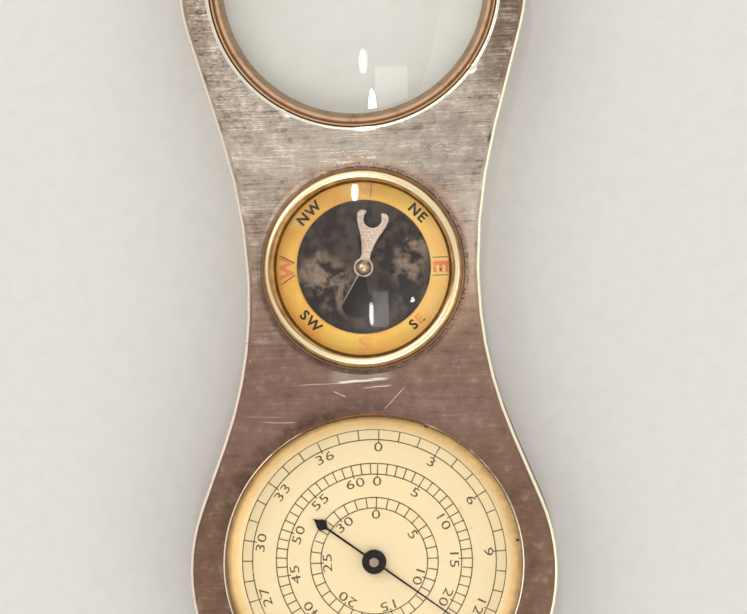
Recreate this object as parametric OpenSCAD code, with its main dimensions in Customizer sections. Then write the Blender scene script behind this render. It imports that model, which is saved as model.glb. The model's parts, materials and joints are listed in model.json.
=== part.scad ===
// Pocket map instrument in one waisted case: a reading lens, a compass and a map-measuring dial.
// Millimetres. X runs across the case, Y towards the lens end and Z out of the dial face.
// The origin is on the compass axis, on the outer face of the back plate.

/* [Case] */
// Thickness of the case over both plates
case_t = 9; // [8.6:0.1:10.5]
// Thickness of the front and back plates
plate_t = 0.8; // [0.6:0.1:1]
// Thickness of the band round the edge
band_t = 0.7; // [0.6:0.05:1]
// Rounding on the outer edges of the band
rim_r = 0.4; // [0.2:0.05:0.5]
// Width of the face between the compass cup and the lens tube
lens_gap = 5.55; // [5:0.05:8]
// Width of the face between the compass cup and the dial's opening
dial_gap = 6.4; // [5.6:0.1:9]
// Width of the case round the lens tube
lens_rim_w = 3.5; // [3.3:0.05:4.5]
// Width of the case round the dial's opening
dial_rim_w = 4.3; // [3.9:0.1:5.5]
// How far the dial end is centred beyond the dial axis
dial_end_shift = 0.9; // [0:0.1:1.4]
// Width of the case outside the compass's solder at the narrowest place
waist_rim_w = 1.25; // [0.8:0.05:2]
// Height of the narrowest place, from the compass axis
waist_y = -1.8; // [-4:0.1:0]
// Slope of the straight flanks above the waist, from the long axis
upper_flank = 16; // [14:0.5:18]
// Slope of the straight flanks below the waist, from the long axis
lower_flank = 21.5; // [19:0.5:24]
// Gap at a soldered or let-in seam
seam_gap = 0.02; // [0.01:0.01:0.05]

/* [Reading lens] */
// Outer radius of the tube that holds the lens
lens_cell_r = 17.65; // [17.2:0.05:17.9]
// Wall of that tube
lens_cell_wall = 0.45; // [0.3:0.05:0.6]
// How far the tube's rolled lip stands above the front plate
lens_lip = 0.15; // [0.05:0.05:0.4]
// Width of the rings that hold the lens
lens_ring_w = 1.25; // [1:0.05:2.2]
// Radius of curvature of both faces of the lens
lens_curve_r = 103; // [90:1:200]
// Thickness of the lens at its edge
lens_edge_t = 1.5; // [1.2:0.1:2]
// Depth of the holding rings below the plates
lens_ring_depth = 0.6; // [0.3:0.1:1]
// Width of the groove between a holding ring and the tube
lens_groove_w = 0.3; // [0.1:0.05:0.4]
// Width of the flat top of a holding ring
lens_ring_top_w = 0.35; // [0.2:0.05:0.4]

/* [Compass] */
// Outer radius of the compass cup
compass_case_r = 11.6; // [11:0.1:11.8]
// Wall of the cup
compass_wall = 0.5; // [0.3:0.05:0.6]
// Thickness of the cup's bottom
compass_bottom_t = 0.6; // [0.4:0.1:0.8]
// Depth of the cup below the front face
compass_depth = 5.8; // [5.6:0.1:6.6]
// Width of the lettered ring round the black disc
letter_ring_w = 2.85; // [2.3:0.05:3.3]
// Thickness of the black disc
compass_disc_t = 0.3; // [0.2:0.05:0.4]
// Thickness of the lettered ring
compass_ring_t = 0.9; // [0.5:0.1:1.2]
// Wall of the ring under the compass glass
compass_spacer_wall = 0.2; // [0.15:0.05:0.3]
// Thickness of the compass glass
compass_glass_t = 0.7; // [0.5:0.05:0.8]
// Rise of the compass glass above the front face
compass_glass_rise = 1.25; // [0.9:0.05:1.6]
// How far the bezel's foot laps over the plate round the cup
bezel_lap = 0.75; // [0.5:0.05:1]
// How far it laps over the glass
bezel_hold = 0.25; // [0.15:0.05:0.4]
// Height of the bezel's foot
bezel_foot_h = 0.3; // [0.2:0.05:0.5]
// Radius of the bezel's round bead
bead_r = 0.62; // [0.5:0.01:0.7]
// Width of the solder fillet round the bezel
solder_w = 0.6; // [0.35:0.05:0.75]
// Height of the solder fillet against the bezel
solder_h = 0.22; // [0.1:0.02:0.28]

/* [Compass needle] */
// Length of the north end from the pivot
needle_north = 6.9; // [6.2:0.1:7.4]
// Length of the south end from the pivot
needle_south = 6.2; // [5.5:0.1:7.4]
// Width of the south end's broad tail
needle_tail_w = 3.6; // [2.4:0.1:4]
// Length of the taper at the end of that tail
needle_tail_end = 1.3; // [0.8:0.1:1.8]
// Thickness of the needle
needle_t = 0.2; // [0.1:0.05:0.3]
// Width of the forked head
needle_head_w = 3.96; // [3.4:0.02:4.4]
// Radius of the head's two round tips
needle_tip_r = 0.56; // [0.4:0.02:0.6]
// Radius of the round notch in the head
needle_notch_r = 1.08; // [0.9:0.02:1.2]
// Width of the neck beside the eye
needle_neck_w = 0.88; // [0.7:0.02:1.1]
// Distance from the pivot to where the neck widens
needle_neck_l = 1.3; // [1:0.1:2]
// Radius of the eye round the cap
needle_eye_r = 1.15; // [1.05:0.05:1.3]
// Radius of the domed cap
needle_cap_r = 0.98; // [0.85:0.01:1.04]
// Height of the domed cap above the needle
needle_cap_h = 0.9; // [0.7:0.05:1]
// Height of the needle above the lettered ring
needle_lift = 1; // [0.8:0.1:1.2]
// Radius of the pivot pin
needle_pin_r = 0.15; // [0.12:0.01:0.2]
// Running clearance round the pivot pin
needle_play = 0.05; // [0.02:0.01:0.08]
// Direction of the north end at rest, clockwise from the long axis
needle_angle = 12.7; // [-180:0.1:180]

/* [Dial] */
// Radius of the dial's opening in the front plate
dial_open_r = 18.2; // [17.6:0.05:18.6]
// Width of the sloping ring between the opening and the dial that shows
dial_slope_w = 1.9; // [1.4:0.05:2.1]
// Thickness of the dial
dial_t = 0.4; // [0.3:0.05:0.6]
// How far the glass runs under the edge of the opening
glass_flange_w = 0.7; // [0.4:0.05:0.9]
// Thickness of the glass at its flange
glass_flange_t = 0.55; // [0.4:0.05:0.7]
// Thickness of the domed glass
glass_t = 0.9; // [0.6:0.05:1]
// Rise of the glass above the front face
glass_rise = 1.5; // [1.2:0.1:2]
// Width of the sloping shoulder of the glass
glass_shoulder_w = 1.6; // [1:0.1:2]
// Rise of that shoulder
glass_shoulder_h = 0.8; // [0.5:0.05:1]
// Width of the sloping ring where it stands on the dial's edge
dial_ring_w = 1.4; // [1.2:0.05:1.6]

/* [Hand] */
// Gap from the tip of the long arm to the sloping ring
hand_gap = 1.1; // [0.4:0.1:2.3]
// Length of the short arm from the dial axis to its point
hand_short = 9.2; // [8:0.1:10]
// Width of the arms
hand_w = 0.25; // [0.2:0.01:0.4]
// Thickness of the arms
hand_t = 0.15; // [0.1:0.01:0.2]
// Length of the pointed head on the short arm
hand_head_l = 2.3; // [1.8:0.1:3]
// Width of that head
hand_head_w = 1.5; // [1:0.1:2]
// Radius of the black boss at the middle
hub_r = 1.56; // [1.3:0.02:1.8]
// Height of that boss
hub_h = 0.8; // [0.6:0.05:0.9]
// Height of the boss above the dial
hub_lift = 0.55; // [0.4:0.05:0.7]
// Direction of the long arm at rest, from the X axis
hand_angle = -37; // [-180:1:180]

/* [Movement] */
// Thickness of the two movement plates
movement_plate_t = 0.8; // [0.6:0.1:0.9]
// Space between the movement plates
movement_gap = 3.2; // [3.1:0.1:3.4]
// Gap between the movement plates and the band
movement_gap_r = 0.25; // [0.15:0.05:0.35]
// Radius of the pillars between the movement plates
pillar_r = 1.2; // [1:0.05:1.4]
// Distance of the pillars' middles from the edge of the movement plates
pillar_inset = 2.95; // [2.65:0.05:3.35]
// Direction of the upper pillars, from the X axis
upper_pillar_angle = 45; // [40:1:50]
// Direction of the lower pillars, from the X axis
lower_pillar_angle = -33; // [-36:1:-25]
// Radius of the arbors between the plates
arbor_r = 0.6; // [0.5:0.05:0.7]
// Radius of the pivots in the plates
pivot_r = 0.35; // [0.25:0.05:0.4]
// Running clearance of a pivot in its hole
pivot_play = 0.05; // [0.02:0.01:0.08]
// End float of the arbors between the plates
end_float = 0.05; // [0.03:0.01:0.1]
// Radius of the middle arbor where it carries the hand
hand_arbor_r = 0.58; // [0.45:0.01:0.6]
// Gap of a piece that is driven on to its arbor
drive_gap = 0.01; // [0.005:0.005:0.02]
// Thickness of the gears
gear_t = 0.7; // [0.5:0.05:0.8]
// Gap between the gears and the plates
gear_clear = 0.35; // [0.3:0.05:0.4]
// How far a pinion is longer than its gear, at each end
pinion_over = 0.1; // [0.05:0.05:0.15]
// Teeth of the pinion on the wheel's arbor
wheel_pinion_teeth = 8; // [8:1:9]
// Teeth of the gear that it drives
lower_gear_teeth = 50; // [46:1:54]
// Teeth of the second pinion
upper_pinion_teeth = 10; // [10:1:11]
// Teeth of the gear on the middle arbor
centre_gear_teeth = 64; // [60:1:68]

/* [Measuring wheel] */
// Length on the map that turns the hand once
turn_length = 990.6; // [950:0.1:1020]
// Thickness of the wheel
wheel_t = 1.2; // [1:0.1:1.3]
// How far the wheel stands out of the case
wheel_out = 1.55; // [1.2:0.05:1.6]
// Serrations round the wheel
wheel_notches = 60; // [40:1:80]
// Depth of the serrations
wheel_notch_depth = 0.14; // [0.08:0.01:0.2]
// Width of the wheel's raised rim
wheel_rim_w = 0.8; // [0.6:0.1:1]
// Depth of the hollow inside that rim
wheel_hollow = 0.2; // [0.1:0.05:0.3]
// Clearance of the wheel in its slot
slot_clear = 0.35; // [0.25:0.05:0.5]

/* [Screws] */
// Radius of the screw threads
screw_r = 0.6; // [0.5:0.05:0.65]
// Clearance round the threads
screw_play = 0.02; // [0.01:0.01:0.04]
// Length of the threads in a pillar or post
screw_grip = 1.1; // [0.9:0.05:1.2]
// Radius of the screw heads
screw_head_r = 1.25; // [1:0.05:1.4]
// Depth of the countersunk heads
screw_head_h = 0.45; // [0.3:0.05:0.5]
// Width of the screwdriver slots
screw_slot_w = 0.3; // [0.2:0.05:0.4]
// Depth of the screwdriver slots
screw_slot_d = 0.22; // [0.15:0.01:0.25]
// Radius of the posts that the back plate is screwed to
post_r = 1.1; // [1:0.05:1.1]
// Direction of the posts at the lens end, from the X axis
post_angle = 52; // [30:1:70]

/* [Hidden] */

$fn = 96;
cut = 0.5; // how far a cutting solid runs past the face it cuts
arc_step = 5; // degrees between the points of an outline
round_steps = 4; // points round a small rounded edge
lens_fn = 1440; // sides of the large circles that bound the lens
mid_z = case_t / 2;
front_z = case_t - plate_t;

// Radii of the compass cup and its bezel, and of the two ends and the waist of the case
cup_in_r = compass_case_r - compass_wall;
bezel_r = compass_case_r + bezel_lap;
bezel_in_r = cup_in_r - bezel_hold;
solder_r = bezel_r + solder_w;
lens_end_r = lens_cell_r + lens_rim_w;
dial_end_r = dial_open_r + dial_rim_w;
waist_half_w = solder_r + waist_rim_w;

// Centres of the three instruments and of the dial end
lens_c = [0, compass_case_r + lens_gap + lens_cell_r];
dial_c = [0, -compass_case_r - dial_gap - dial_open_r];
dial_end_c = [0, dial_c.y - dial_end_shift];

// Each waist arc runs into its straight flank and stands upright at the narrowest place
upper_waist_r = (cos(upper_flank) * waist_half_w + sin(upper_flank) * (lens_c.y - waist_y) - lens_end_r)
  / (1 - cos(upper_flank));
lower_waist_r = (cos(lower_flank) * waist_half_w + sin(lower_flank) * (waist_y - dial_end_c.y) - dial_end_r)
  / (1 - cos(lower_flank));
upper_waist_c = [waist_half_w + upper_waist_r, waist_y];
lower_waist_c = [waist_half_w + lower_waist_r, waist_y];

// Lens and its rings
lens_cell_in_r = lens_cell_r - lens_cell_wall;
lens_view_r = lens_cell_in_r - lens_ring_w;
lens_r = lens_cell_in_r - 2 * seam_gap;
lens_apex = mid_z + lens_edge_t / 2 + sag(lens_r);
lens_ring_foot_z = lens_apex - sag(lens_view_r) + seam_gap;
lens_ring_top_z = case_t - lens_ring_depth;
lens_ring_in_top_r = lens_cell_in_r - lens_groove_w - lens_ring_top_w;

// Compass, from the bottom of the cup to the cap of the needle
cup_z = case_t - compass_depth;
disc_z = cup_z + compass_bottom_t;
compass_disc_r = cup_in_r - letter_ring_w;
ring_z = disc_z + compass_disc_t;
ring_top_z = ring_z + compass_ring_t;
needle_z = ring_top_z + needle_lift;
compass_glass_z = case_t - compass_glass_t;
bead_shift = 0.1; // how far the bead is set inwards from the middle of its foot
bead_set = 0.7; // height of the bead's centre over its foot, in bead radii
bead_c = [(bezel_in_r + bezel_r) / 2 - bead_shift, case_t + bezel_foot_h + bead_r * bead_set];
needle_skirt_r = 0.62;
needle_skirt_h = 0.3;
needle_bore_h = 0.6;
needle_cap_rim = 0.1;
post_foot_r = 0.7;
post_shaft_r = 0.45;

// Movement, from the back plate to the dial
low_plate_z = plate_t;
gear_space_z = low_plate_z + movement_plate_t;
high_plate_z = gear_space_z + movement_gap;
dial_z = high_plate_z + movement_plate_t;
dial_top_z = dial_z + dial_t;
movement_r = dial_end_r - band_t - movement_gap_r;
pillar_circle_r = movement_r - pillar_inset;
dial_glass_z = front_z - seam_gap - glass_flange_t;
dial_ring_r = dial_open_r + dial_ring_w;
dial_view_r = dial_open_r - dial_slope_w;
hand_long = dial_view_r - hand_gap;
dial_ring_step = 0.25;
hub_z = dial_top_z + hub_lift;
head_shoulder = 0.35; // where the head of the hand is widest, as a share of its length
wheel_z = high_plate_z - gear_clear - wheel_t;
high_gear_z = wheel_z + (wheel_t - gear_t) / 2;
low_gear_z = gear_space_z + gear_clear;

// The three arbors stand in line, and the gears fill the distance between them
train_ratio = (lower_gear_teeth / wheel_pinion_teeth) * (centre_gear_teeth / upper_pinion_teeth);
wheel_r = turn_length / (2 * PI * train_ratio);
wheel_drop = dial_end_r + wheel_out - wheel_r;
train_length = wheel_drop + dial_end_shift;
gear_module = 2 * train_length
  / (wheel_pinion_teeth + lower_gear_teeth + upper_pinion_teeth + centre_gear_teeth);
wheel_c = [0, dial_end_c.y - wheel_drop];
lower_c = [0, wheel_c.y + gear_module * (wheel_pinion_teeth + lower_gear_teeth) / 2];

// Slot that lets the wheel out through the band
slot_half_w = sqrt(wheel_r * wheel_r - pow(dial_end_r - band_t - wheel_drop, 2)) + slot_clear;

// Places of the pillars and posts, which take the back plate's screws
pillar_spots = [
  for (side = [0, 1], angle = [upper_pillar_angle, lower_pillar_angle])
    dial_end_c + pillar_circle_r * [side == 0 ? cos(angle) : -cos(angle), sin(angle)]
];
lens_post_r = (lens_cell_r + lens_end_r - band_t) / 2;
post_spots = [
  lens_c + lens_post_r * [cos(post_angle), sin(post_angle)],
  lens_c + lens_post_r * [-cos(post_angle), sin(post_angle)],
  [0, compass_case_r + lens_gap / 2]
];

// Tooth forms, as steps of [height over the pitch circle in modules, share of the tooth's thickness]
gear_tooth = [[-1.1, 1.1], [0, 1], [0.5, 0.86], [1, 0.5]];
pinion_tooth = [[-1.3, 0.9], [0, 1], [0.3, 0.85], [0.6, 0.5]];
gear_tooth_share = 0.48;
pinion_tooth_share = 0.42;

// Depth of a spherical face at radius r
function sag(r) = lens_curve_r - sqrt(lens_curve_r * lens_curve_r - r * r);

// Points along an arc, with both ends
function arc(c, r, from, to, steps) = [
  for (i = [0 : steps])
    let (a = from + (to - from) * i / steps)
      c + r * [cos(a), sin(a)]
];

// Points along an arc, about one for each step of the outline
function outline_arc(c, r, from, to) = arc(c, r, from, to, ceil(abs(to - from) / arc_step));

// The right half of the case's outline, drawn in by inset
function half_outline(inset) = concat(
  outline_arc(lens_c, lens_end_r - inset, 90, -upper_flank),
  outline_arc(upper_waist_c, upper_waist_r + inset, 180 - upper_flank, 180 - arc_step / 4),
  outline_arc(lower_waist_c, lower_waist_r + inset, 180, 180 + lower_flank),
  outline_arc(dial_end_c, dial_end_r - inset, lower_flank, -90)
);

// The whole outline, drawn in by inset
function full_outline(inset) = let (right = half_outline(inset), last = len(right) - 1) concat(
  right,
  [for (i = [last - 1 : -1 : 1]) [-right[i].x, right[i].y]]
);

module case_outline(inset) {
  polygon(full_outline(inset));
}

// Cross-section of the band, as [depth inwards from its outer face, height]
function band_section() = concat(
  [[band_t, 0], [band_t, case_t]],
  arc([rim_r, case_t - rim_r], rim_r, 90, 180, round_steps),
  arc([rim_r, rim_r], rim_r, 180, 270, round_steps)
);

// A straight cut through everything between two heights
module bore(c, r, low, high) {
  translate([c.x, c.y, low - cut]) cylinder(r = r, h = high - low + 2 * cut);
}

// A shaft between two heights
module rod(c, r, low, high) {
  translate([c.x, c.y, low]) cylinder(r = r, h = high - low);
}

// A ring turned from a section, about an upright axis at c
module turned(c, points) {
  translate([c.x, c.y, 0]) rotate_extrude() polygon(points);
}

// Gear or pinion, with a tooth pointing up at turn = 0
module toothed(c, low, high, teeth, form, share, turn, hole_r) {
  pitch_r = gear_module * teeth / 2;
  half = 180 / teeth * share;
  steps = concat([for (s = form) [s[0], -s[1]]], [for (i = [len(form) - 1 : -1 : 0]) form[i]]);
  points = [
    for (tooth = [0 : teeth - 1], s = steps)
      let (a = 90 - 360 / teeth * tooth - half * s[1], r = pitch_r + gear_module * s[0])
        r * [cos(a), sin(a)]
  ];
  difference() {
    translate([c.x, c.y, low]) rotate([0, 0, turn]) linear_extrude(high - low) polygon(points);
    bore(c, hole_r, low, high);
  }
}

// Countersunk screw pointing up, with its head flush at z = 0
module screw(length) {
  difference() {
    rotate_extrude() polygon([
      [0, 0], [screw_head_r, 0], [screw_r, screw_head_h], [screw_r, length], [0, length]
    ]);
    translate([-screw_head_r - cut, -screw_slot_w / 2, -cut])
      cube([2 * (screw_head_r + cut), screw_slot_w, screw_slot_d + cut]);
  }
}

// Countersunk hole for that screw, through a plate above z = 0
module screw_hole(through) {
  gap = screw_play;
  rotate_extrude() polygon([
    [0, -cut], [screw_head_r + gap, -cut], [screw_head_r + gap, 0],
    [screw_r + gap, screw_head_h], [screw_r + gap, through + cut], [0, through + cut]
  ]);
}

module at(spot, z = 0) {
  translate([spot.x, spot.y, z]) children();
}

module front_plate() {
  color("#b3a18b") difference() {
    translate([0, 0, front_z]) linear_extrude(plate_t) case_outline(band_t + seam_gap);
    bore(lens_c, lens_cell_r + seam_gap, front_z, case_t);
    bore([0, 0], compass_case_r + seam_gap, front_z, case_t);
    bore(dial_c, dial_open_r, front_z, case_t);
  }
}

// The outline lofted through the points of the band's section
module side_band() {
  section = band_section();
  rings = [for (s = section) [for (p = full_outline(s[0])) [p.x, p.y, s[1]]]];
  count = len(rings[0]);
  faces = [
    for (k = [0 : len(section) - 1], i = [0 : count - 1])
      let (a = k * count, b = (k + 1) % len(section) * count, next = (i + 1) % count)
        each [[a + i, a + next, b + i], [a + next, b + next, b + i]]
  ];
  color("#c9b99d") difference() {
    polyhedron(points = [for (ring = rings) each ring], faces = faces);
    translate([-slot_half_w, wheel_c.y - wheel_r - cut, wheel_z - slot_clear])
      cube([2 * slot_half_w, wheel_r + cut, wheel_t + 2 * slot_clear]);
  }
}

module back_plate() {
  color("#ab9a84") difference() {
    linear_extrude(plate_t) case_outline(band_t + seam_gap);
    bore(lens_c, lens_cell_r + seam_gap, 0, plate_t);
    for (spot = concat(pillar_spots, post_spots)) at(spot) screw_hole(plate_t);
  }
}

// The pillar screws pass through the movement's back plate too
module back_screws() {
  color("#cfc4ae") {
    for (spot = pillar_spots) at(spot) screw(gear_space_z + screw_grip);
    for (spot = post_spots) at(spot) screw(plate_t + screw_grip);
  }
}

module case_posts() {
  color("#b08d4a") for (spot = post_spots) difference() {
    rod(spot, post_r, plate_t, front_z);
    rod(spot, screw_r + screw_play, plate_t - cut, plate_t + screw_grip + seam_gap);
  }
}

module lens_cell() {
  lip = lens_cell_wall / 2;
  color("#e3d7bd") turned(lens_c, concat(
    [[lens_cell_in_r, 0], [lens_cell_r, 0]],
    arc([lens_cell_r - lip, case_t + lens_lip - lip], lip, 0, 180, 2 * round_steps)
  ));
}

// Section of a holding ring, from the lens outwards
function lens_ring_section() = [
  [lens_view_r, lens_ring_foot_z],
  [lens_cell_in_r - seam_gap, lens_ring_foot_z],
  [lens_cell_in_r - seam_gap, lens_ring_top_z - lens_groove_w],
  [lens_cell_in_r - lens_groove_w, lens_ring_top_z],
  [lens_ring_in_top_r, lens_ring_top_z],
  [lens_view_r, (lens_ring_foot_z + lens_ring_top_z) / 2]
];

module lens_front_ring() {
  color("#be8c5f") turned(lens_c, lens_ring_section());
}

module lens_back_ring() {
  color("#be8c5f") translate([0, 0, case_t]) mirror([0, 0, 1]) turned(lens_c, lens_ring_section());
}

module lens() {
  color("#cfdde2", 0.4) at(lens_c) rotate_extrude() intersection() {
    square([lens_r, case_t]);
    translate([0, lens_apex - lens_curve_r]) circle(r = lens_curve_r, $fn = lens_fn);
    translate([0, case_t - lens_apex + lens_curve_r]) circle(r = lens_curve_r, $fn = lens_fn);
  }
}

module compass_case() {
  color("#a8854a") difference() {
    rod([0, 0], compass_case_r, cup_z, case_t);
    bore([0, 0], cup_in_r, disc_z + cut, case_t);
    bore([0, 0], post_foot_r + drive_gap, cup_z, disc_z);
  }
}

module compass_disc() {
  color("#1c1a1b") difference() {
    rod([0, 0], cup_in_r - seam_gap, disc_z, ring_z);
    bore([0, 0], post_shaft_r + drive_gap, disc_z, ring_z);
  }
}

module compass_letter_ring() {
  color("#e0a246") difference() {
    rod([0, 0], cup_in_r - seam_gap, ring_z, ring_top_z);
    bore([0, 0], compass_disc_r, ring_z, ring_top_z);
  }
}

module compass_spacer_ring() {
  color("#b88f4c") difference() {
    rod([0, 0], cup_in_r - seam_gap, ring_top_z, compass_glass_z);
    bore([0, 0], cup_in_r - seam_gap - compass_spacer_wall, ring_top_z, compass_glass_z);
  }
}

// Heights of a shallow dome of radius r and rise h, from its edge to its middle
function dome(r, z, h, steps) = let (curve = (r * r + h * h) / (2 * h)) [
  for (i = [0 : steps])
    let (x = r * (1 - i / steps))
      [x, z + h - curve + sqrt(curve * curve - x * x)]
];

function reversed(list) = [for (i = [len(list) - 1 : -1 : 0]) list[i]];

module compass_glass() {
  edge_r = cup_in_r - seam_gap;
  dome_r = bezel_in_r - seam_gap;
  color("#dfe6e2", 0.3) turned([0, 0], concat(
    [[dome_r - compass_glass_t, compass_glass_z], [edge_r, compass_glass_z], [edge_r, case_t - seam_gap]],
    [[dome_r, case_t - seam_gap]],
    dome(dome_r, case_t, compass_glass_rise, 2 * round_steps),
    reversed(dome(dome_r - compass_glass_t, compass_glass_z + seam_gap, compass_glass_rise, 2 * round_steps))
  ));
}

module compass_bezel() {
  foot_top = case_t + bezel_foot_h;
  color("#d9b565") union() {
    turned([0, 0], [[bezel_in_r, case_t], [bezel_r, case_t], [bezel_r, foot_top], [bezel_in_r, foot_top]]);
    rotate_extrude() translate(bead_c) circle(r = bead_r);
  }
}

module compass_solder() {
  color("#6f6149") turned([0, 0], [
    [bezel_r + seam_gap, case_t], [solder_r, case_t], [bezel_r + seam_gap, case_t + solder_h]
  ]);
}

module compass_pivot_post() {
  pin_top = needle_z + needle_bore_h - needle_skirt_h - needle_play;
  color("#8f8576") turned([0, 0], [
    [0, cup_z], [post_foot_r, cup_z], [post_foot_r, disc_z], [post_shaft_r, disc_z],
    [post_shaft_r, ring_top_z], [needle_pin_r, ring_top_z + needle_lift / 3],
    [needle_pin_r, pin_top - needle_pin_r], [0, pin_top]
  ]);
}

// The blade lies along +Y at needle_angle = 0: two round tips at the north end, a broad tail at the south
module needle_outline() {
  neck = needle_neck_w / 2;
  tip_y = needle_north - needle_tip_r;
  tip_x = needle_head_w / 2 - needle_tip_r;
  side_x = needle_head_w / 2 - seam_gap;
  tail = needle_tail_w / 2;
  tail_y = needle_tail_end - needle_south;
  difference() {
    union() {
      polygon([
        [-neck, 0], [-tail, tail_y], [-tail / 2, -needle_south], [tail / 2, -needle_south], [tail, tail_y],
        [neck, 0], [neck, needle_neck_l], [side_x, tip_y], [-side_x, tip_y], [-neck, needle_neck_l]
      ]);
      for (side = [-1, 1]) translate([side * tip_x, tip_y]) circle(r = needle_tip_r);
      circle(r = needle_eye_r);
    }
    translate([0, needle_north - needle_notch_r]) circle(r = needle_notch_r);
  }
}

module compass_needle() {
  color("#b9ab97") difference() {
    translate([0, 0, needle_z]) rotate([0, 0, -needle_angle]) linear_extrude(needle_t) needle_outline();
    bore([0, 0], needle_skirt_r + drive_gap, needle_z, needle_z + needle_t);
  }
}

module needle_cap() {
  low = needle_z - needle_skirt_h;
  top = needle_z + needle_t;
  color("#a9804f") difference() {
    turned([0, 0], concat(
      [[0, low], [needle_skirt_r, low], [needle_skirt_r, top], [needle_cap_r, top]],
      dome(needle_cap_r, top + needle_cap_rim, needle_cap_h, round_steps)
    ));
    rod([0, 0], needle_pin_r + needle_play, low - cut, low + needle_bore_h);
  }
}

module dial() {
  color("#f3deb4") difference() {
    rod(dial_c, dial_ring_r, dial_z, dial_top_z);
    bore(dial_c, hand_arbor_r + pivot_play * 2, dial_z, dial_top_z);
  }
}

// Its sloping face runs from the dial's edge up to the opening in the front plate
module dial_sloping_ring() {
  color("#c9953f") turned(dial_c, [
    [dial_view_r, dial_top_z], [dial_ring_r, dial_top_z], [dial_ring_r, dial_glass_z],
    [dial_open_r - seam_gap, dial_glass_z], [dial_view_r, dial_top_z + dial_ring_step]
  ]);
}

module dial_glass() {
  edge_r = dial_open_r - seam_gap;
  flange_r = dial_open_r + glass_flange_w;
  shoulder_r = edge_r - glass_shoulder_w;
  inner_r = edge_r - glass_t;
  shoulder_z = case_t + glass_shoulder_h;
  dome_h = glass_rise - glass_shoulder_h;
  low = dial_glass_z + seam_gap;
  color("#e6ebe6", 0.3) turned(dial_c, concat(
    [[inner_r, low], [flange_r, low], [flange_r, front_z - seam_gap], [edge_r, front_z - seam_gap]],
    [[edge_r, case_t]],
    dome(shoulder_r, shoulder_z, dome_h, round_steps),
    reversed(dome(shoulder_r - glass_t / 2, shoulder_z - glass_t, dome_h, round_steps))
  ));
}

// The long arm lies along +X at hand_angle = 0
module hand() {
  half = hand_w / 2;
  head_y = hand_head_w / 2;
  head_x = hand_short - hand_head_l;
  wide_x = head_x + hand_head_l * head_shoulder;
  eye_r = hub_r - hand_w;
  color("#15120f") difference() {
    at(dial_c, hub_z - hand_t) rotate([0, 0, hand_angle]) linear_extrude(hand_t) union() {
      polygon([
        [hand_long, -half / 2], [hand_long, half / 2], [0, half], [-head_x, half],
        [-wide_x, head_y], [-hand_short, 0], [-wide_x, -head_y], [-head_x, -half], [0, -half]
      ]);
      circle(r = eye_r);
    }
    bore(dial_c, hand_arbor_r + drive_gap, hub_z, hub_z);
  }
}

module hand_boss() {
  edge = hub_h / 2;
  bore_r = hand_arbor_r + drive_gap;
  color("#100e0d") turned(dial_c, concat(
    [[bore_r, hub_z], [hub_r, hub_z]],
    arc([hub_r - edge, hub_z + hub_h - edge], edge, 0, 90, round_steps),
    [[bore_r, hub_z + hub_h]]
  ));
}

// Both movement plates carry the pivots of the lower arbor and the wheel's arbor
module pivot_holes(low, high) {
  bore(lower_c, pivot_r + pivot_play, low, high);
  bore(wheel_c, pivot_r + pivot_play, low, high);
}

module movement_front_plate() {
  color("#c4a055") difference() {
    rod(dial_end_c, movement_r, high_plate_z, dial_z);
    bore(dial_c, hand_arbor_r + pivot_play, high_plate_z, dial_z);
    pivot_holes(high_plate_z, dial_z);
    for (spot = pillar_spots) at(spot, dial_z) mirror([0, 0, 1]) screw_hole(movement_plate_t);
  }
}

module movement_back_plate() {
  color("#c4a055") difference() {
    rod(dial_end_c, movement_r, low_plate_z, gear_space_z);
    bore(dial_c, pivot_r + pivot_play, low_plate_z, gear_space_z);
    pivot_holes(low_plate_z, gear_space_z);
    for (spot = pillar_spots) bore(spot, screw_r + screw_play, low_plate_z, gear_space_z);
  }
}

module movement_pillars() {
  hole_r = screw_r + screw_play;
  hole_h = screw_grip + seam_gap;
  color("#c9ab62") for (spot = pillar_spots) difference() {
    rod(spot, pillar_r, gear_space_z, high_plate_z);
    rod(spot, hole_r, gear_space_z - cut, gear_space_z + hole_h);
    rod(spot, hole_r, high_plate_z - hole_h, high_plate_z + cut);
  }
}

module movement_screws() {
  color("#5d6470") for (spot = pillar_spots)
    at(spot, dial_z) mirror([0, 0, 1]) screw(movement_plate_t + screw_grip);
}

// An arbor between the movement plates: its pivots reach the far faces of the plates
module arbor(c, low_r, high_r, high) {
  union() {
    rod(c, low_r, low_plate_z + end_float, gear_space_z + 2 * end_float);
    rod(c, arbor_r, gear_space_z + end_float, high_plate_z - end_float);
    rod(c, high_r, high_plate_z - 2 * end_float, high);
  }
}

module middle_arbor() {
  color("#8d877d") arbor(dial_c, pivot_r, hand_arbor_r, hub_z + hub_h);
}

module centre_gear() {
  color("#cfa94f") toothed(dial_c, high_gear_z, high_gear_z + gear_t, centre_gear_teeth,
    gear_tooth, gear_tooth_share, 180, arbor_r + drive_gap);
}

module lower_arbor() {
  color("#8d877d") arbor(lower_c, pivot_r, pivot_r, dial_z - end_float);
}

module lower_gear() {
  color("#cfa94f") toothed(lower_c, low_gear_z, low_gear_z + gear_t, lower_gear_teeth,
    gear_tooth, gear_tooth_share, 180, arbor_r + drive_gap);
}

module upper_pinion() {
  color("#9a948a") toothed(lower_c, high_gear_z - pinion_over, high_gear_z + gear_t + pinion_over,
    upper_pinion_teeth, pinion_tooth, pinion_tooth_share, 180 / upper_pinion_teeth, arbor_r + drive_gap);
}

module wheel_arbor() {
  color("#8d877d") arbor(wheel_c, pivot_r, pivot_r, dial_z - end_float);
}

module wheel_pinion() {
  color("#9a948a") toothed(wheel_c, low_gear_z - pinion_over, low_gear_z + gear_t + pinion_over,
    wheel_pinion_teeth, pinion_tooth, pinion_tooth_share, 180 / wheel_pinion_teeth, arbor_r + drive_gap);
}

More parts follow.
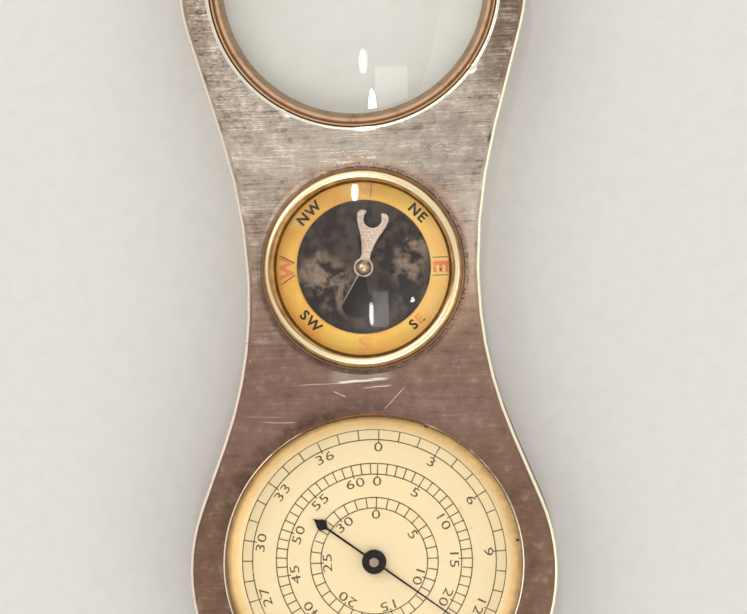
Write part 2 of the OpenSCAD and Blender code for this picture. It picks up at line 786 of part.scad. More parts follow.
module measuring_wheel() {
  root_r = wheel_r - wheel_notch_depth;
  top = wheel_z + wheel_t;
  boss_r = 2 * arbor_r;
  rim_in_r = wheel_r - wheel_rim_w;
  points = [
    for (i = [0 : 2 * wheel_notches - 1])
      let (a = 180 * i / wheel_notches, r = i % 2 == 0 ? wheel_r : root_r)
        r * [cos(a), sin(a)]
  ];
  color("#b9aa8d") difference() {
    at(wheel_c, wheel_z) linear_extrude(wheel_t) polygon(points);
    bore(wheel_c, arbor_r + drive_gap, wheel_z, top);
    turned(wheel_c, [
      [boss_r, top - wheel_hollow], [rim_in_r, top - wheel_hollow], [rim_in_r, top + cut], [boss_r, top + cut]
    ]);
    turned(wheel_c, [
      [boss_r, wheel_z - cut], [rim_in_r, wheel_z - cut],
      [rim_in_r, wheel_z + wheel_hollow], [boss_r, wheel_z + wheel_hollow]
    ]);
  }
}

front_plate();
side_band();
back_plate();
back_screws();
case_posts();
lens_cell();
lens_front_ring();
lens_back_ring();
lens();
compass_case();
compass_disc();
compass_letter_ring();
compass_spacer_ring();
compass_glass();
compass_bezel();
compass_solder();
compass_pivot_post();
compass_needle();
needle_cap();
dial();
dial_sloping_ring();
dial_glass();
hand();
hand_boss();
movement_front_plate();
movement_back_plate();
movement_pillars();
movement_screws();
middle_arbor();
centre_gear();
lower_arbor();
lower_gear();
upper_pinion();
wheel_arbor();
wheel_pinion();
measuring_wheel();
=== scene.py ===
import json
import math

import bpy
from mathutils import Euler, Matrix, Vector

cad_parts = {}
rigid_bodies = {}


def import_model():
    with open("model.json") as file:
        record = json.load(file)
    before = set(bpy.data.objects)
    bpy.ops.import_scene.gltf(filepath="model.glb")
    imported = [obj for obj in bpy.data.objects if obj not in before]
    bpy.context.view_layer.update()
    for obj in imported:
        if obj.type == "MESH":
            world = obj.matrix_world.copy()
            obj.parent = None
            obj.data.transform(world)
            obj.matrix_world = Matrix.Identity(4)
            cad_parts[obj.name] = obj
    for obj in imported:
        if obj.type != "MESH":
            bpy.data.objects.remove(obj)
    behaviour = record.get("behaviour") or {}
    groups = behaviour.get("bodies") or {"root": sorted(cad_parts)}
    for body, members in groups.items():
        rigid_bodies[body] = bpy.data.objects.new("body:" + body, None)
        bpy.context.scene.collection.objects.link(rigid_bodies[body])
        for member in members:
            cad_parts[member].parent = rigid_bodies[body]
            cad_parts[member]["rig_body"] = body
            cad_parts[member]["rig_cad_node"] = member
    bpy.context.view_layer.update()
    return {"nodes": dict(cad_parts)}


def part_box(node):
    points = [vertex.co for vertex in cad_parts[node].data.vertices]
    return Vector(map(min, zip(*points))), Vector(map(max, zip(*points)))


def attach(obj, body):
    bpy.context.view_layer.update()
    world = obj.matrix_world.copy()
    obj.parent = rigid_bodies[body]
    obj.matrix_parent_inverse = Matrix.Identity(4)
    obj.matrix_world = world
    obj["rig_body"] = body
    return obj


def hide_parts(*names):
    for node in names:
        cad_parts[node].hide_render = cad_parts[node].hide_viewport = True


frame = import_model()
cadNodes = frame["nodes"]
mm = 0.001


# Where the CAD pieces stand, in millimetres

def sizeOf(node):
    low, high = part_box(node)
    return low / mm, high / mm


def middleOf(node):
    low, high = sizeOf(node)
    return (low + high) / 2


def radiusOf(node):
    low, high = sizeOf(node)
    return (high.x - low.x) / 2


lensCentre = middleOf("lens")
dialCentre = middleOf("dial")
compassCentre = middleOf("compass_case")
faceZ = sizeOf("front_plate")[1].z
dialZ = sizeOf("dial")[1].z
ringZ = sizeOf("compass_letter_ring")[1].z


# Camera, lamps and floor

view = {
    "lookAt": (1.12, -4.72),  # the place on the face that lies in the middle of the picture
    "imageWidth": 90.9,  # how much of the face the picture is wide
    "distance": 420.0,
    "tilt": (-3.46, 1.34, -2.09),  # degrees about the case's three axes, from straight above the face
    "nearest": 10.0,
    "sensorWidth": 36.0,
}

cameraTurn = Euler([math.radians(angle) for angle in view["tilt"]])
cameraOffset = cameraTurn.to_matrix() @ Vector((0, 0, view["distance"]))
cameraData = bpy.data.cameras.new("camera")
cameraData.sensor_width = view["sensorWidth"]
cameraData.lens = view["sensorWidth"] * view["distance"] / view["imageWidth"]
cameraData.clip_start = view["nearest"] * mm
camera = bpy.data.objects.new("camera", cameraData)
camera.location = (Vector((*view["lookAt"], faceZ)) + cameraOffset) * mm
camera.rotation_euler = cameraTurn
bpy.context.scene.collection.objects.link(camera)
bpy.context.scene.camera = camera

lamps = {
    # name: place in mm, width and height in mm, brightness of its face and its shape
    # the first four show in the compass glass
    "upperStrip": ((-112, 778, 1842), (76, 230), 60.0, "ELLIPSE"),
    "lowerStrip": ((23, -604, 1905), (46, 270), 60.0, "ELLIPSE"),
    "lowerPanel": ((128, -555, 1910), (176, 410), 2.6, "RECTANGLE"),
    "lowerSpot": ((487, -466, 1883), (60, 60), 60.0, "ELLIPSE"),
    "keySoftbox": ((-260, 210, 330), (260, 260), 1.3, "RECTANGLE"),
    "fillSoftbox": ((330, -160, 300), (260, 260), 0.9, "RECTANGLE"),
}
lampColour = (1.0, 0.965, 0.92)

for name, (place, size, brightness, shape) in lamps.items():
    lampData = bpy.data.lights.new(name, "AREA")
    lampData.shape = shape
    lampData.size, lampData.size_y = size[0] * mm, size[1] * mm
    faceShare = math.pi / 4 if shape == "ELLIPSE" else 1
    lampData.energy = brightness * math.pi * lampData.size * lampData.size_y * faceShare
    lampData.color = lampColour
    lamp = bpy.data.objects.new(name, lampData)
    lamp.location = Vector(place) * mm
    away = Vector(place).normalized()
    lamp.rotation_euler = (-math.asin(away.y), math.atan2(away.x, away.z), 0)  # it faces the origin
    bpy.context.scene.collection.objects.link(lamp)

bpy.context.scene.view_settings.view_transform = "Standard"
print("camera and lamps")


# Shader nodes

def srgb(red, green, blue):
    # a colour as a photo editor gives it, 0 to 255, as the shader wants it
    parts = [c / 255 for c in (red, green, blue)]
    return (*[c / 12.92 if c <= 0.04045 else ((c + 0.055) / 1.055) ** 2.4 for c in parts], 1.0)


class Wire:
    # one socket of a material: arithmetic on it adds Math nodes

    def __init__(self, tree, socket=None):
        self.tree = tree
        self.socket = socket

    def node(self, kind, settings, values, output=0):
        made = self.tree.nodes.new("ShaderNode" + kind)
        for key, value in settings.items():
            setattr(made, key, value)
        for key, value in values.items():
            if isinstance(value, Wire):
                self.tree.links.new(value.socket, made.inputs[key])
            else:
                made.inputs[key].default_value = value
        return Wire(self.tree, made.outputs[output])

    def maths(self, operation, *values):
        return self.node("Math", {"operation": operation}, dict(enumerate(values)))

    def __add__(self, other):
        return self.maths("ADD", self, other)

    def __radd__(self, other):
        return self.maths("ADD", other, self)

    def __sub__(self, other):
        return self.maths("SUBTRACT", self, other)

    def __rsub__(self, other):
        return self.maths("SUBTRACT", other, self)

    def __mul__(self, other):
        return self.maths("MULTIPLY", self, other)

    def __rmul__(self, other):
        return self.maths("MULTIPLY", other, self)

    def __truediv__(self, other):
        return self.maths("DIVIDE", self, other)

    def __abs__(self):
        return self.maths("ABSOLUTE", self)

    def step(self, low, high):
        # 0 below low, 1 above high, and smooth between; high may be the lower one
        return self.node("MapRange", {"interpolation_type": "SMOOTHSTEP"},
                         {0: self, 1: low, 2: high, 3: 0.0, 4: 1.0})

    def above(self, other):
        return self.maths("MAXIMUM", self, other)


class Finish:
    # a material with its Principled shader, and the place on the piece in millimetres

    def __init__(self, name, **shader):
        self.material = bpy.data.materials.new(name)
        self.material.use_nodes = True
        self.tree = self.material.node_tree
        self.body = self.tree.nodes["Principled BSDF"]
        self.wire = Wire(self.tree)
        coordinates = self.wire.node("TexCoord", {}, {}, "Object")
        self.place = self.wire.node("VectorMath", {"operation": "SCALE"}, {0: coordinates, "Scale": 1 / mm})
        self.x, self.y, self.z = (self.part(self.place, axis) for axis in "XYZ")
        self.set(**shader)

    def set(self, **shader):
        names = {"colour": "Base Color", "rough": "Roughness", "metal": "Metallic", "normal": "Normal",
                 "ior": "IOR", "coat": "Coat Weight", "coatRough": "Coat Roughness",
                 "shine": "Specular IOR Level", "through": "Transmission Weight"}
        for key, value in shader.items():
            socket = self.body.inputs[names[key]]
            if isinstance(value, Wire):
                self.tree.links.new(value.socket, socket)
            else:
                socket.default_value = value

    def part(self, vector, axis):
        return self.wire.node("SeparateXYZ", {}, {0: vector}, axis)

    def stretched(self, x, y, z, turn=0.0, shift=(0.0, 0.0, 0.0)):
        return self.wire.node("Mapping", {}, {
            "Vector": self.place, "Rotation": (0.0, 0.0, math.radians(turn)),
            "Scale": (x, y, z), "Location": shift})

    def noise(self, scale, detail=2.0, place=None, rough=0.5, warp=0.0):
        return self.wire.node("TexNoise", {}, {
            "Vector": place or self.place, "Scale": scale, "Detail": detail,
            "Roughness": rough, "Distortion": warp})

    def cells(self, scale):
        return self.wire.node("TexVoronoi", {}, {"Vector": self.place, "Scale": scale}, "Distance")

    def mix(self, mask, first, second):
        return self.wire.node("Mix", {"data_type": "RGBA"}, {0: mask, 6: first, 7: second}, 2)

    def layers(self, colour, *others):
        # each of the others is laid over the first colour where its mask is 1
        for mask, top in others:
            colour = self.mix(mask, colour, top)
        return colour

    def bump(self, height, depth, strength=1.0):
        # depth is the height of a full step, in millimetres
        return self.wire.node("Bump", {}, {"Height": height, "Distance": depth * mm, "Strength": strength})

    def radius(self, centre):
        # distance from an upright axis
        flat = self.wire.node("VectorMath", {"operation": "MULTIPLY_ADD"},
                              {0: self.place, 1: (1.0, 1.0, 0.0), 2: (-centre.x, -centre.y, 0.0)})
        return self.wire.node("VectorMath", {"operation": "LENGTH"}, {0: flat}, "Value")

    def stroke(self, middle, halfLength, halfWidth, turn, wobble=0.0):
        # 1 inside a long patch on the face, fading at its ends and sides
        c, s = math.cos(math.radians(turn)), math.sin(math.radians(turn))
        along = self.x * c + self.y * s - (middle[0] * c + middle[1] * s)
        across = self.y * c - self.x * s - (middle[1] * c - middle[0] * s) + wobble
        return abs(along).step(halfLength, halfLength * 0.6) * abs(across).step(halfWidth, halfWidth * 0.3)

    def upward(self):
        # 1 where the surface faces up
        normal = self.wire.node("NewGeometry", {}, {}, "Normal")
        return self.part(normal, "Z")


def dress(piece, finish):
    piece.data.materials.clear()
    piece.data.materials.append(finish.material)


# Mesh tools

def toMode(mode):
    bpy.ops.object.mode_set(mode=mode)


def selectNothing():
    if bpy.context.object and bpy.context.object.mode != "OBJECT":
        toMode("OBJECT")
    bpy.ops.object.select_all(action="DESELECT")


def editing():
    toMode("EDIT")
    bpy.ops.mesh.select_mode(type="VERT")
    bpy.ops.mesh.select_all(action="SELECT")


def finished(piece, name, finish, slot, *replaced, body="case", sharpAngle=35):
    # the piece's place goes into its mesh, as the CAD nodes have it
    selectNothing()
    piece.select_set(True)
    bpy.context.view_layer.objects.active = piece
    bpy.ops.object.transform_apply(location=True, rotation=True, scale=True)
    if sharpAngle:
        bpy.ops.object.shade_smooth_by_angle(angle=math.radians(sharpAngle))
    piece.name = name
    piece.data.name = name
    dress(piece, finish)
    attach(piece, body)
    if replaced:
        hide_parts(*replaced)


def arcPoints(centre, radius, start, end, count):
    angles = [math.radians(start + (end - start) * i / count) for i in range(count + 1)]
    return [(centre[0] + radius * math.cos(a), centre[1] + radius * math.sin(a)) for a in angles]


def domePoints(radius, edgeZ, rise, count):
    # a shallow dome as (distance from the axis, height), from its edge to its middle
    curve = (radius * radius + rise * rise) / (2 * rise)
    points = []
    for i in range(count + 1):
        r = radius * (1 - i / count)
        points.append((r, edgeZ + rise - curve + math.sqrt(curve * curve - r * r)))
    return points


def drawn(points):
    # a new piece, left in edit mode: one line through the points
    selectNothing()
    bpy.ops.mesh.primitive_plane_add(size=mm, location=Vector(points[0]) * mm)
    piece = bpy.context.object
    editing()
    bpy.ops.mesh.merge(type="CENTER")
    for start, end in zip(points, points[1:]):
        way = [(b - a) * mm for a, b in zip(start, end)]
        bpy.ops.mesh.extrude_vertices_move(TRANSFORM_OT_translate={"value": way})
    bpy.ops.mesh.select_all(action="SELECT")
    return piece


def closeMesh():
    bpy.ops.mesh.select_all(action="SELECT")
    bpy.ops.mesh.normals_make_consistent(inside=False)
    toMode("OBJECT")


def turned(profile, centre, steps=192):
    # a profile of (distance from the axis, height) is spun about an upright axis
    line = [(centre.x + r, centre.y, z) for r, z in profile]
    if profile[0][0] or profile[-1][0]:
        line.append(line[0])
    piece = drawn(line)
    bpy.ops.mesh.remove_doubles(threshold=0.0002 * mm)
    bpy.ops.mesh.spin(steps=steps, angle=2 * math.pi, axis=(0, 0, 1),
                      center=(centre.x * mm, centre.y * mm, 0))
    bpy.ops.mesh.select_all(action="SELECT")
    bpy.ops.mesh.remove_doubles(threshold=0.0002 * mm)
    closeMesh()
    return piece


def cutOut(outline, centre, turn, node, bevel):
    # a flat piece as thick as a CAD node; its outline is drawn round the origin, turned and moved
    low, high = (corner.z for corner in sizeOf(node))
    c, s = math.cos(math.radians(turn)), math.sin(math.radians(turn))
    piece = drawn([(centre.x + x * c - y * s, centre.y + x * s + y * c, low) for x, y in outline])
    bpy.ops.mesh.edge_face_add()
    bpy.ops.mesh.extrude_region_move(TRANSFORM_OT_translate={"value": (0, 0, (high - low) * mm)})
    closeMesh()
    rounded = piece.modifiers.new("edges", "BEVEL")
    rounded.width = bevel * mm
    rounded.segments = 2
    rounded.limit_method = "ANGLE"
    rounded.angle_limit = math.radians(50)
    bpy.ops.object.modifier_apply(modifier=rounded.name)
    return piece


def mirrored(half):
    # the right half of an outline, from its foot to its head, and its mirror image
    return half + [(-x, y) for x, y in reversed(half) if abs(x) > 0.001]


def copyOf(node):
    # the CAD mesh, merged into one skin, as the start of a finer piece
    selectNothing()
    source = cadNodes[node]
    source.select_set(True)
    bpy.context.view_layer.objects.active = source
    bpy.ops.object.duplicate()
    piece = bpy.context.object
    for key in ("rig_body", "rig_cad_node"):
        del piece[key]
    piece.parent = None
    bpy.ops.mesh.customdata_custom_splitnormals_clear()
    editing()
    bpy.ops.mesh.remove_doubles(threshold=0.0005 * mm)
    toMode("OBJECT")
    return piece


def joined(parts):
    selectNothing()
    for part in parts:
        part.select_set(True)
    bpy.context.view_layer.objects.active = parts[0]
    bpy.ops.object.join()
    return bpy.context.object


# Case metal: nickel silver, brushed across, darker towards the dial, partly from age and partly as painted
# reflection

caseLook = {
    "cleanAndBright": srgb(184, 170, 156),
    "warm": srgb(156, 132, 114),
    "agedAndDim": srgb(128, 101, 88),
    "deep": srgb(116, 90, 74),  # beside the dial, partly painted reflection
    "dirtAndShade": srgb(66, 50, 44),
    "tan": srgb(206, 164, 128),
    # painted highlight colours of the rounded rims, the second on the right side
    "edge": srgb(250, 232, 214),
    "edgeLit": srgb(255, 250, 218),
    "scratchAndSheen": srgb(255, 244, 230),
    "cleanEnd": 17.0,  # along the case: cleaner and, as painted reflection, brighter than this towards the lens
    "agedEnd": -20.0,  # and fully aged and darker from here towards the dial
    "deepStart": -19.0,
    "deepEnd": -29.0,
    "sootAndShadow": (20.7, 18.8),  # distances from the dial's axis where the soot and painted shadow start and are full
    "smear": (14.6, 12.8),  # the same of the warm smear round the compass
    "shade": (13.6, 12.5),  # and of the painted shade at the foot of its bezel
    # soft patches of painted sheen: middle on the face, half length, half width, angle and strength; a
    # negative strength gives a darker patch
    "paintedSheens": (
        ((-0.6, -12.9), 4.4, 1.0, 1.0, 0.15), ((-15.0, -6.0), 4.0, 2.0, 80.0, 0.12),
        ((10.5, 13.5), 6.0, 6.0, 40.0, -0.2), ((18.6, 30.0), 12.0, 3.4, 80.0, -0.34),
        ((0.0, 14.6), 9.0, 2.2, 0.0, 0.05), ((-9.5, -21.0), 6.0, 2.0, 40.0, -0.15),
        ((-2.5, -16.6), 5.0, 1.6, 4.0, -0.25), ((14.0, 3.0), 8.0, 2.4, 88.0, 0.12),
    ),
    # scratches that can be told apart, in the same way
    "scratches": (
        ((-12.8, 13.7), 3.6, 0.1, -6.5, 0.7), ((-10.6, 13.9), 3.4, 0.08, -1.5, 0.7),
        ((-8.8, 12.8), 1.2, 0.1, 0.0, 0.7), ((-0.6, -13.7), 3.6, 0.22, 3.0, 0.85),
        ((-5.0, -13.9), 4.0, 0.08, 1.0, 0.4), ((1.2, -14.5), 2.0, 0.1, 4.0, 0.6),
        ((3.3, -15.9), 2.2, 0.06, 45.0, 0.6), ((-10.9, -18.4), 2.4, 0.06, -1.0, 0.45),
        ((-12.6, -17.7), 2.4, 0.05, -2.0, 0.3), ((-16.3, 22.4), 1.4, 0.09, 2.0, 0.6),
        ((-14.6, -10.9), 0.6, 0.06, 12.0, 0.7), ((-3.4, -15.2), 1.0, 0.12, -25.0, 0.4),
        ((-17.6, 31.4), 1.4, 0.08, 4.0, 0.7), ((-14.3, 24.6), 0.9, 0.09, 0.0, 0.6),
    ),
    # patches where many fine marks lie together
    "rubbed": (
        ((-1.5, 13.6), 5.0, 2.2, 0.0, 0.8), ((-10.0, 14.2), 7.0, 2.8, -3.0, 0.5),
        ((-0.5, -14.0), 5.0, 1.2, 2.0, 0.15), ((9.0, 14.0), 6.0, 3.4, 8.0, 0.6),
        ((9.0, -16.5), 8.0, 3.4, -14.0, 0.1),
    ),
}


def caseMetal(name, look, agedAndShaded=True, rimHighlighted=True, marked=True, grain=1.0, brushed=(0.25, 8.0, 3.0)):
    metal = Finish(name, metal=1.0)
    hair = metal.noise(1.0, 2.0, metal.stretched(*brushed), 0.55)
    streak = metal.noise(1.0, 3.0, metal.stretched(*[scale / 4 for scale in brushed]), 0.6, 0.3)
    fleck = metal.noise(1.0, 3.0, metal.stretched(2.2, 4.6, 2.6, turn=8.0), 0.7)
    grit = metal.noise(1.0, 5.0, rough=0.75)
    blotch = metal.noise(0.45, 3.0, rough=0.6)
    cloud = metal.noise(0.14, 3.0, rough=0.6, warp=0.5)
    patchy = metal.noise(0.3, 2.0, metal.stretched(1.0, 1.6, 1.0, shift=(3.0, 1.0, 0.0))).step(0.35, 0.65)
    # mask of age and painted reflection: darker towards the dial, beside the lens and on the left around the
    # compass
    along = metal.y.step(look["cleanEnd"], look["agedEnd"]) if agedAndShaded else cloud * 0.6
    ageAndReflection = along + (cloud - 0.5) * 0.5 + (streak - 0.5) * 0.3
    if agedAndShaded:
        lensSides = abs(metal.x).step(13.0, 20.0) * metal.y.step(10.0, 24.0)
        ageAndReflection = ageAndReflection + lensSides * (0.4 + metal.x.step(-10.0, 14.0) * 0.35)
        ageAndReflection = ageAndReflection - metal.x * 0.008 * metal.y.step(-12.0, 4.0) * metal.y.step(20.0, 8.0)
        grain = (metal.x.step(-9.0, -14.0) * metal.y.step(12.0, 20.0) * 0.5 + 0.5) * grain
    colour = metal.layers(look["cleanAndBright"], (ageAndReflection.step(0.0, 0.7), look["warm"]),
                          (ageAndReflection.step(0.5, 1.0), look["agedAndDim"]))
    if agedAndShaded:
        deep = (metal.y + (cloud - 0.5) * 8.0).step(look["deepStart"], look["deepEnd"])
        colour = metal.mix(deep, colour, look["deep"])
    fresh = 1.0 - along
    tone = (fleck - 0.5) * (0.5 + fresh * 1.1) * grain + (grit - 0.5) * 1.4 * grain
    tone = tone + (hair - 0.5) * (0.35 + fresh * 0.95) + (streak - 0.5) * (0.5 + fresh * 0.25)
    tone = tone + (blotch - 0.5) * 1.2
    colour = metal.layers(colour, (tone.step(0.0, 0.6) * (0.7 + fresh * 0.15), look["dirtAndShade"]),
                          (tone.step(0.0, -0.6) * (0.16 + fresh * 0.6), look["scratchAndSheen"]))
    rubbed = hair.step(0.5, 0.62) * fleck.step(0.4, 0.58)
    flecks = fleck.step(0.7, 0.78) * (0.1 + fresh * 0.35) * grain
    flecks = flecks.above(hair.step(0.62, 0.76) * patchy * (0.14 + fresh * 0.34))
    if agedAndShaded:
        sootAndShadow = (cloud + (blotch - 0.5) * 1.2 + (grit - 0.5) * 0.8).step(0.36, 0.68) * 0.5 + 0.5
        upperLeftShadow = metal.x.step(5.0, -7.0) * metal.y.step(-33.0, -25.0)  # the soot is thickest there, with painted shadow along the dial's upper-left edge
        sootAndShadow = sootAndShadow * metal.radius(dialCentre).step(*look["sootAndShadow"]) * (upperLeftShadow * 0.5 + 0.25)
        bezelDistance = metal.radius(compassCentre)
        smear = bezelDistance.step(*look["smear"]) * (grit + (metal.x + metal.y) * 0.012).step(0.45, 0.62)
        # a warm smear round the compass, painted shade at the bezel's foot, and soot with painted shadow
        # round the dial
        colour = metal.layers(colour, (smear * 0.4, look["tan"]),
                              (bezelDistance.step(*look["shade"]) * 0.3, look["dirtAndShade"]), (sootAndShadow, look["dirtAndShade"]))
    if marked:
        # painted sheen where the strength is positive, a darker patch where it is negative
        for *patch, strength in look["paintedSheens"]:
            sheenOrDarkening = look["scratchAndSheen"] if strength > 0 else look["dirtAndShade"]
            colour = metal.mix(metal.stroke(*patch) * abs(strength), colour, sheenOrDarkening)
        wobble = (metal.noise(0.3, 2.0) - 0.5) * 0.3
        for *patch, strength in look["rubbed"]:
            flecks = flecks.above(metal.stroke(*patch) * rubbed * strength)
        for *line, strength in look["scratches"]:
            flecks = flecks.above(metal.stroke(*line, wobble) * hair.step(0.2, 0.6) * strength)
    colour = metal.mix(flecks, colour, look["scratchAndSheen"])
    rough = 0.34 + ((grit - 0.5) * 0.2 + (fleck - 0.5) * 0.12) * grain + along * 0.04 - flecks * 0.1
    if rimHighlighted:
        # painted highlight on the rounded rims, where the surface tilts from the face, yellower on the right
        up = metal.upward()
        rimHighlight = up.step(0.9995, 0.975) * up.step(0.02, 0.3)
        edge = metal.mix(metal.x.step(-12.0, 14.0), look["edge"], look["edgeLit"])
        colour = metal.mix(rimHighlight * (1.0 - grit.step(0.55, 0.75) * 0.5), colour, edge)
        rough = rough - rimHighlight * 0.1
    relief = hair * 0.5 + streak * 0.2 + fleck * grain * 0.5 - flecks * 0.4
    metal.set(colour=colour, rough=rough, normal=metal.bump(relief, 0.03, 0.6))
    metal.colour = colour
    return metal


faceMetal = caseMetal("faceMetal", caseLook)
backMetal = caseMetal("backMetal", caseLook, agedAndShaded=False, marked=False, grain=0.3)
dress(cadNodes["front_plate"], faceMetal)
dress(cadNodes["back_plate"], backMetal)

seamWidth = 0.019  # between the band's inner wall and the plates
band = copyOf("side_band")
editing()
bpy.ops.mesh.select_mode(type="FACE")
bpy.ops.mesh.select_all(action="DESELECT")
toMode("OBJECT")
for polygon in band.data.polygons:  # the wall that faces the plates moves in and closes their seam
    outwards = Vector((polygon.center.x, polygon.center.y)) / mm
    middle = Vector((0, max(dialCentre.y, min(lensCentre.y, outwards.y))))
    flatNormal = Vector((polygon.normal.x, polygon.normal.y))
    polygon.select = abs(polygon.normal.z) < 0.05 and flatNormal.dot(outwards - middle) < 0
toMode("EDIT")
bpy.ops.transform.shrink_fatten(value=seamWidth * mm)
bandMetal = caseMetal("bandMetal", caseLook, marked=False, grain=0.3, brushed=(0.3, 0.3, 9.0))
finished(band, "rim_band", bandMetal, "band_metal", "side_band", sharpAngle=40)
evened = band.modifiers.new("evened", "WEIGHTED_NORMAL")
evened.keep_sharp = True
bpy.ops.object.modifier_apply(modifier=evened.name)
print("case")


# Reading lens: a rolled tube, two tan rings and a clear double-convex glass

lensLook = {
    # the lip's cream is a painted highlight, and lipShadow painted shadow on its inner slope
    "lip": srgb(255, 248, 230),
    "lipShadow": srgb(74, 48, 30),
    "tan": srgb(208, 172, 136),
    "tanInner": srgb(182, 156, 130),
    "tanDark": srgb(104, 68, 42),
    "glassTint": (0.97, 0.985, 0.98, 1.0),
    "dust": srgb(235, 235, 230),
    "curveRadius": 103.0,
    "lipLap": 0.38,  # how far the rolled lip lies over the plate
    "lipHalf": 0.2,
    "mouth": ((0.24, -0.08), (0.0, -0.36)),  # behind the lip, measured from the tube's bore and the face
    "blobs": (  # bumps on the lip, cream like its painted highlight: direction from the lens's middle, half length, half width
        (-119.1, 0.85, 0.62), (-87.2, 1.8, 0.42), (-38.1, 0.8, 0.6),
    ),
}

lipMetal = Finish("lipMetal", metal=1.0)
lipWear = lipMetal.noise(0.6, 4.0, rough=0.6)
tubeLow, tubeHigh = sizeOf("lens_cell")
tubeR = radiusOf("lens_cell")
tubeInner = radiusOf("lens_front_ring") + 0.02
lipR = lipMetal.radius(lensCentre)
# painted highlight cream on the lip, warm where worn, painted shadow on its inner slope and tan further in
lipColour = lipMetal.layers(lensLook["lip"], (lipWear.step(0.5, 0.85) * 0.6, caseLook["warm"]),
                            (lipR.step(tubeR, tubeR - 0.06), lensLook["lipShadow"]),
                            (lipR.step(tubeR - 0.2, tubeR - 0.26), lensLook["tan"]))
lipMetal.set(colour=lipColour, rough=0.16 + lipWear * 0.14, normal=lipMetal.bump(lipWear, 0.03, 0.4))
lipFoot = faceZ + 0.01
halfCircle = arcPoints((0, 0), 1, 0, 180, 12)
lipHeight = tubeHigh.z - lipFoot
tubeProfile = [(tubeInner, tubeLow.z), (tubeR, tubeLow.z), (tubeR, lipFoot)]
lipMiddle = tubeR + lensLook["lipLap"] - lensLook["lipHalf"]
tubeProfile += [(lipMiddle + x * lensLook["lipHalf"], lipFoot + z * lipHeight) for x, z in halfCircle]
tubeProfile += [(tubeInner + x, faceZ + z) for x, z in lensLook["mouth"]]
tubeParts = [turned(tubeProfile, lensCentre, 240)]
for blobAngle, blobLong, blobWide in lensLook["blobs"]:
    angle = math.radians(blobAngle)
    outwards = Vector((math.cos(angle), math.sin(angle), 0))
    blobPlace = Vector((lensCentre.x, lensCentre.y, lipFoot)) + outwards * lipMiddle
    selectNothing()
    bpy.ops.mesh.primitive_uv_sphere_add(segments=24, ring_count=12, radius=mm, location=blobPlace * mm,
                                         rotation=(0, 0, angle), scale=(blobWide, blobLong, lipHeight))
    tubeParts.append(bpy.context.object)
finished(joined(tubeParts), "lens_tube", lipMetal, "lip_metal", "lens_cell")

tanMetal = Finish("tanMetal", metal=0.6)
tanMottle = tanMetal.noise(0.7, 4.0, rough=0.65)
tanR = tanMetal.radius(lensCentre)
tanInner = (tanR + (tanMottle - 0.5) * 0.8).step(tubeInner - 0.5, tubeInner - 0.9)
tanColour = tanMetal.layers(lensLook["tan"], (tanInner * 0.7, lensLook["tanInner"]),
                            (tanMottle.step(0.42, 0.75) * 0.4, lensLook["tanDark"]))
tanMetal.set(colour=tanColour, rough=0.36 + tanMottle * 0.2, normal=tanMetal.bump(tanMottle, 0.02, 0.3))
for node in ("lens_front_ring", "lens_back_ring"):
    dress(cadNodes[node], tanMetal)


def glassFinish(name, tint, dustScale, dustLevel, ior, halo):
    glass = Finish(name, through=1.0, ior=ior, rough=0.0, coat=halo, coatRough=0.2)
    dusted = glass.noise(0.25, 2.0).step(dustLevel, dustLevel + 0.05)
    specks = glass.cells(dustScale).step(0.06, 0.03) * dusted
    glass.set(colour=tint)
    speck = glass.wire.node("BsdfDiffuse", {}, {"Color": lensLook["dust"]}, "BSDF")
    clear = glass.wire.node("BsdfTransparent", {}, {"Color": tint}, "BSDF")
    body = Wire(glass.tree, glass.body.outputs["BSDF"])
    lampRay = glass.wire.node("LightPath", {}, {}, "Is Shadow Ray")
    dusty = glass.wire.node("MixShader", {}, {0: specks * 0.6, 1: body, 2: speck}, "Shader")
    shown = glass.wire.node("MixShader", {}, {0: lampRay, 1: dusty, 2: clear}, "Shader")
    glass.tree.links.new(shown.socket, glass.tree.nodes["Material Output"].inputs["Surface"])
    return glass


watchTint = (0.99, 0.99, 0.98, 1.0)
compassIor, dialIor = 1.28, 1.12  # they reflect less than full glass, as in the photo's dark room
lensGlass = glassFinish("lensGlass", lensLook["glassTint"], 1.1, 0.62, 1.5, 0.0)
lensLow, lensHigh = sizeOf("lens")
lensRim = radiusOf("lens")
lensCurve = lensLook["curveRadius"]
lensRise = lensCurve - math.sqrt(lensCurve ** 2 - lensRim ** 2)
lensFace = domePoints(lensRim, lensHigh.z - lensRise, lensRise, 36)
lensProfile = lensFace[::-1] + [(r, lensLow.z + lensHigh.z - z) for r, z in lensFace]
finished(turned(lensProfile, lensCentre), "reading_lens", lensGlass, "glass", "lens")
print("lens")


# Compass: amber ring with letters, black disc, domed glass and a beaded bezel

compassLook = {
    "amber": srgb(255, 214, 98),
    "amberDeep": srgb(255, 188, 74),
    "amberShadeAndStain": srgb(186, 112, 52),
    "amberLightRight": srgb(255, 226, 152),
    "black": srgb(38, 29, 26),
    "smudgeAndReflection": srgb(150, 130, 114),
    "brass": srgb(236, 196, 118),
    "brassHighlight": srgb(255, 238, 196),
    "brassBrown": srgb(156, 112, 66),
    "brassSide": srgb(204, 158, 98),
    "brassDark": srgb(112, 74, 38),
    "solderDark": srgb(38, 28, 20),
    "needle": srgb(214, 194, 176),
    "needleDark": srgb(22, 9, 6),
    "bronze": srgb(220, 196, 170),
    "silver": srgb(222, 204, 184),
    "capSpeck": srgb(104, 80, 60),
    "letterInk": srgb(40, 26, 14),
    "letterRed": srgb(236, 144, 96),
    "ringTurn": -1.2,  # degrees that the lettered ring stands off the case's axis
    "needleTurn": -12.7,
}

amber = Finish("amberRing", shine=0.3)
amberCloud = amber.noise(0.22, 4.0, rough=0.6, warp=0.5)
amberGrain = amber.noise(3.0, 3.0, rough=0.6)
amberEdge = amber.radius(compassCentre)
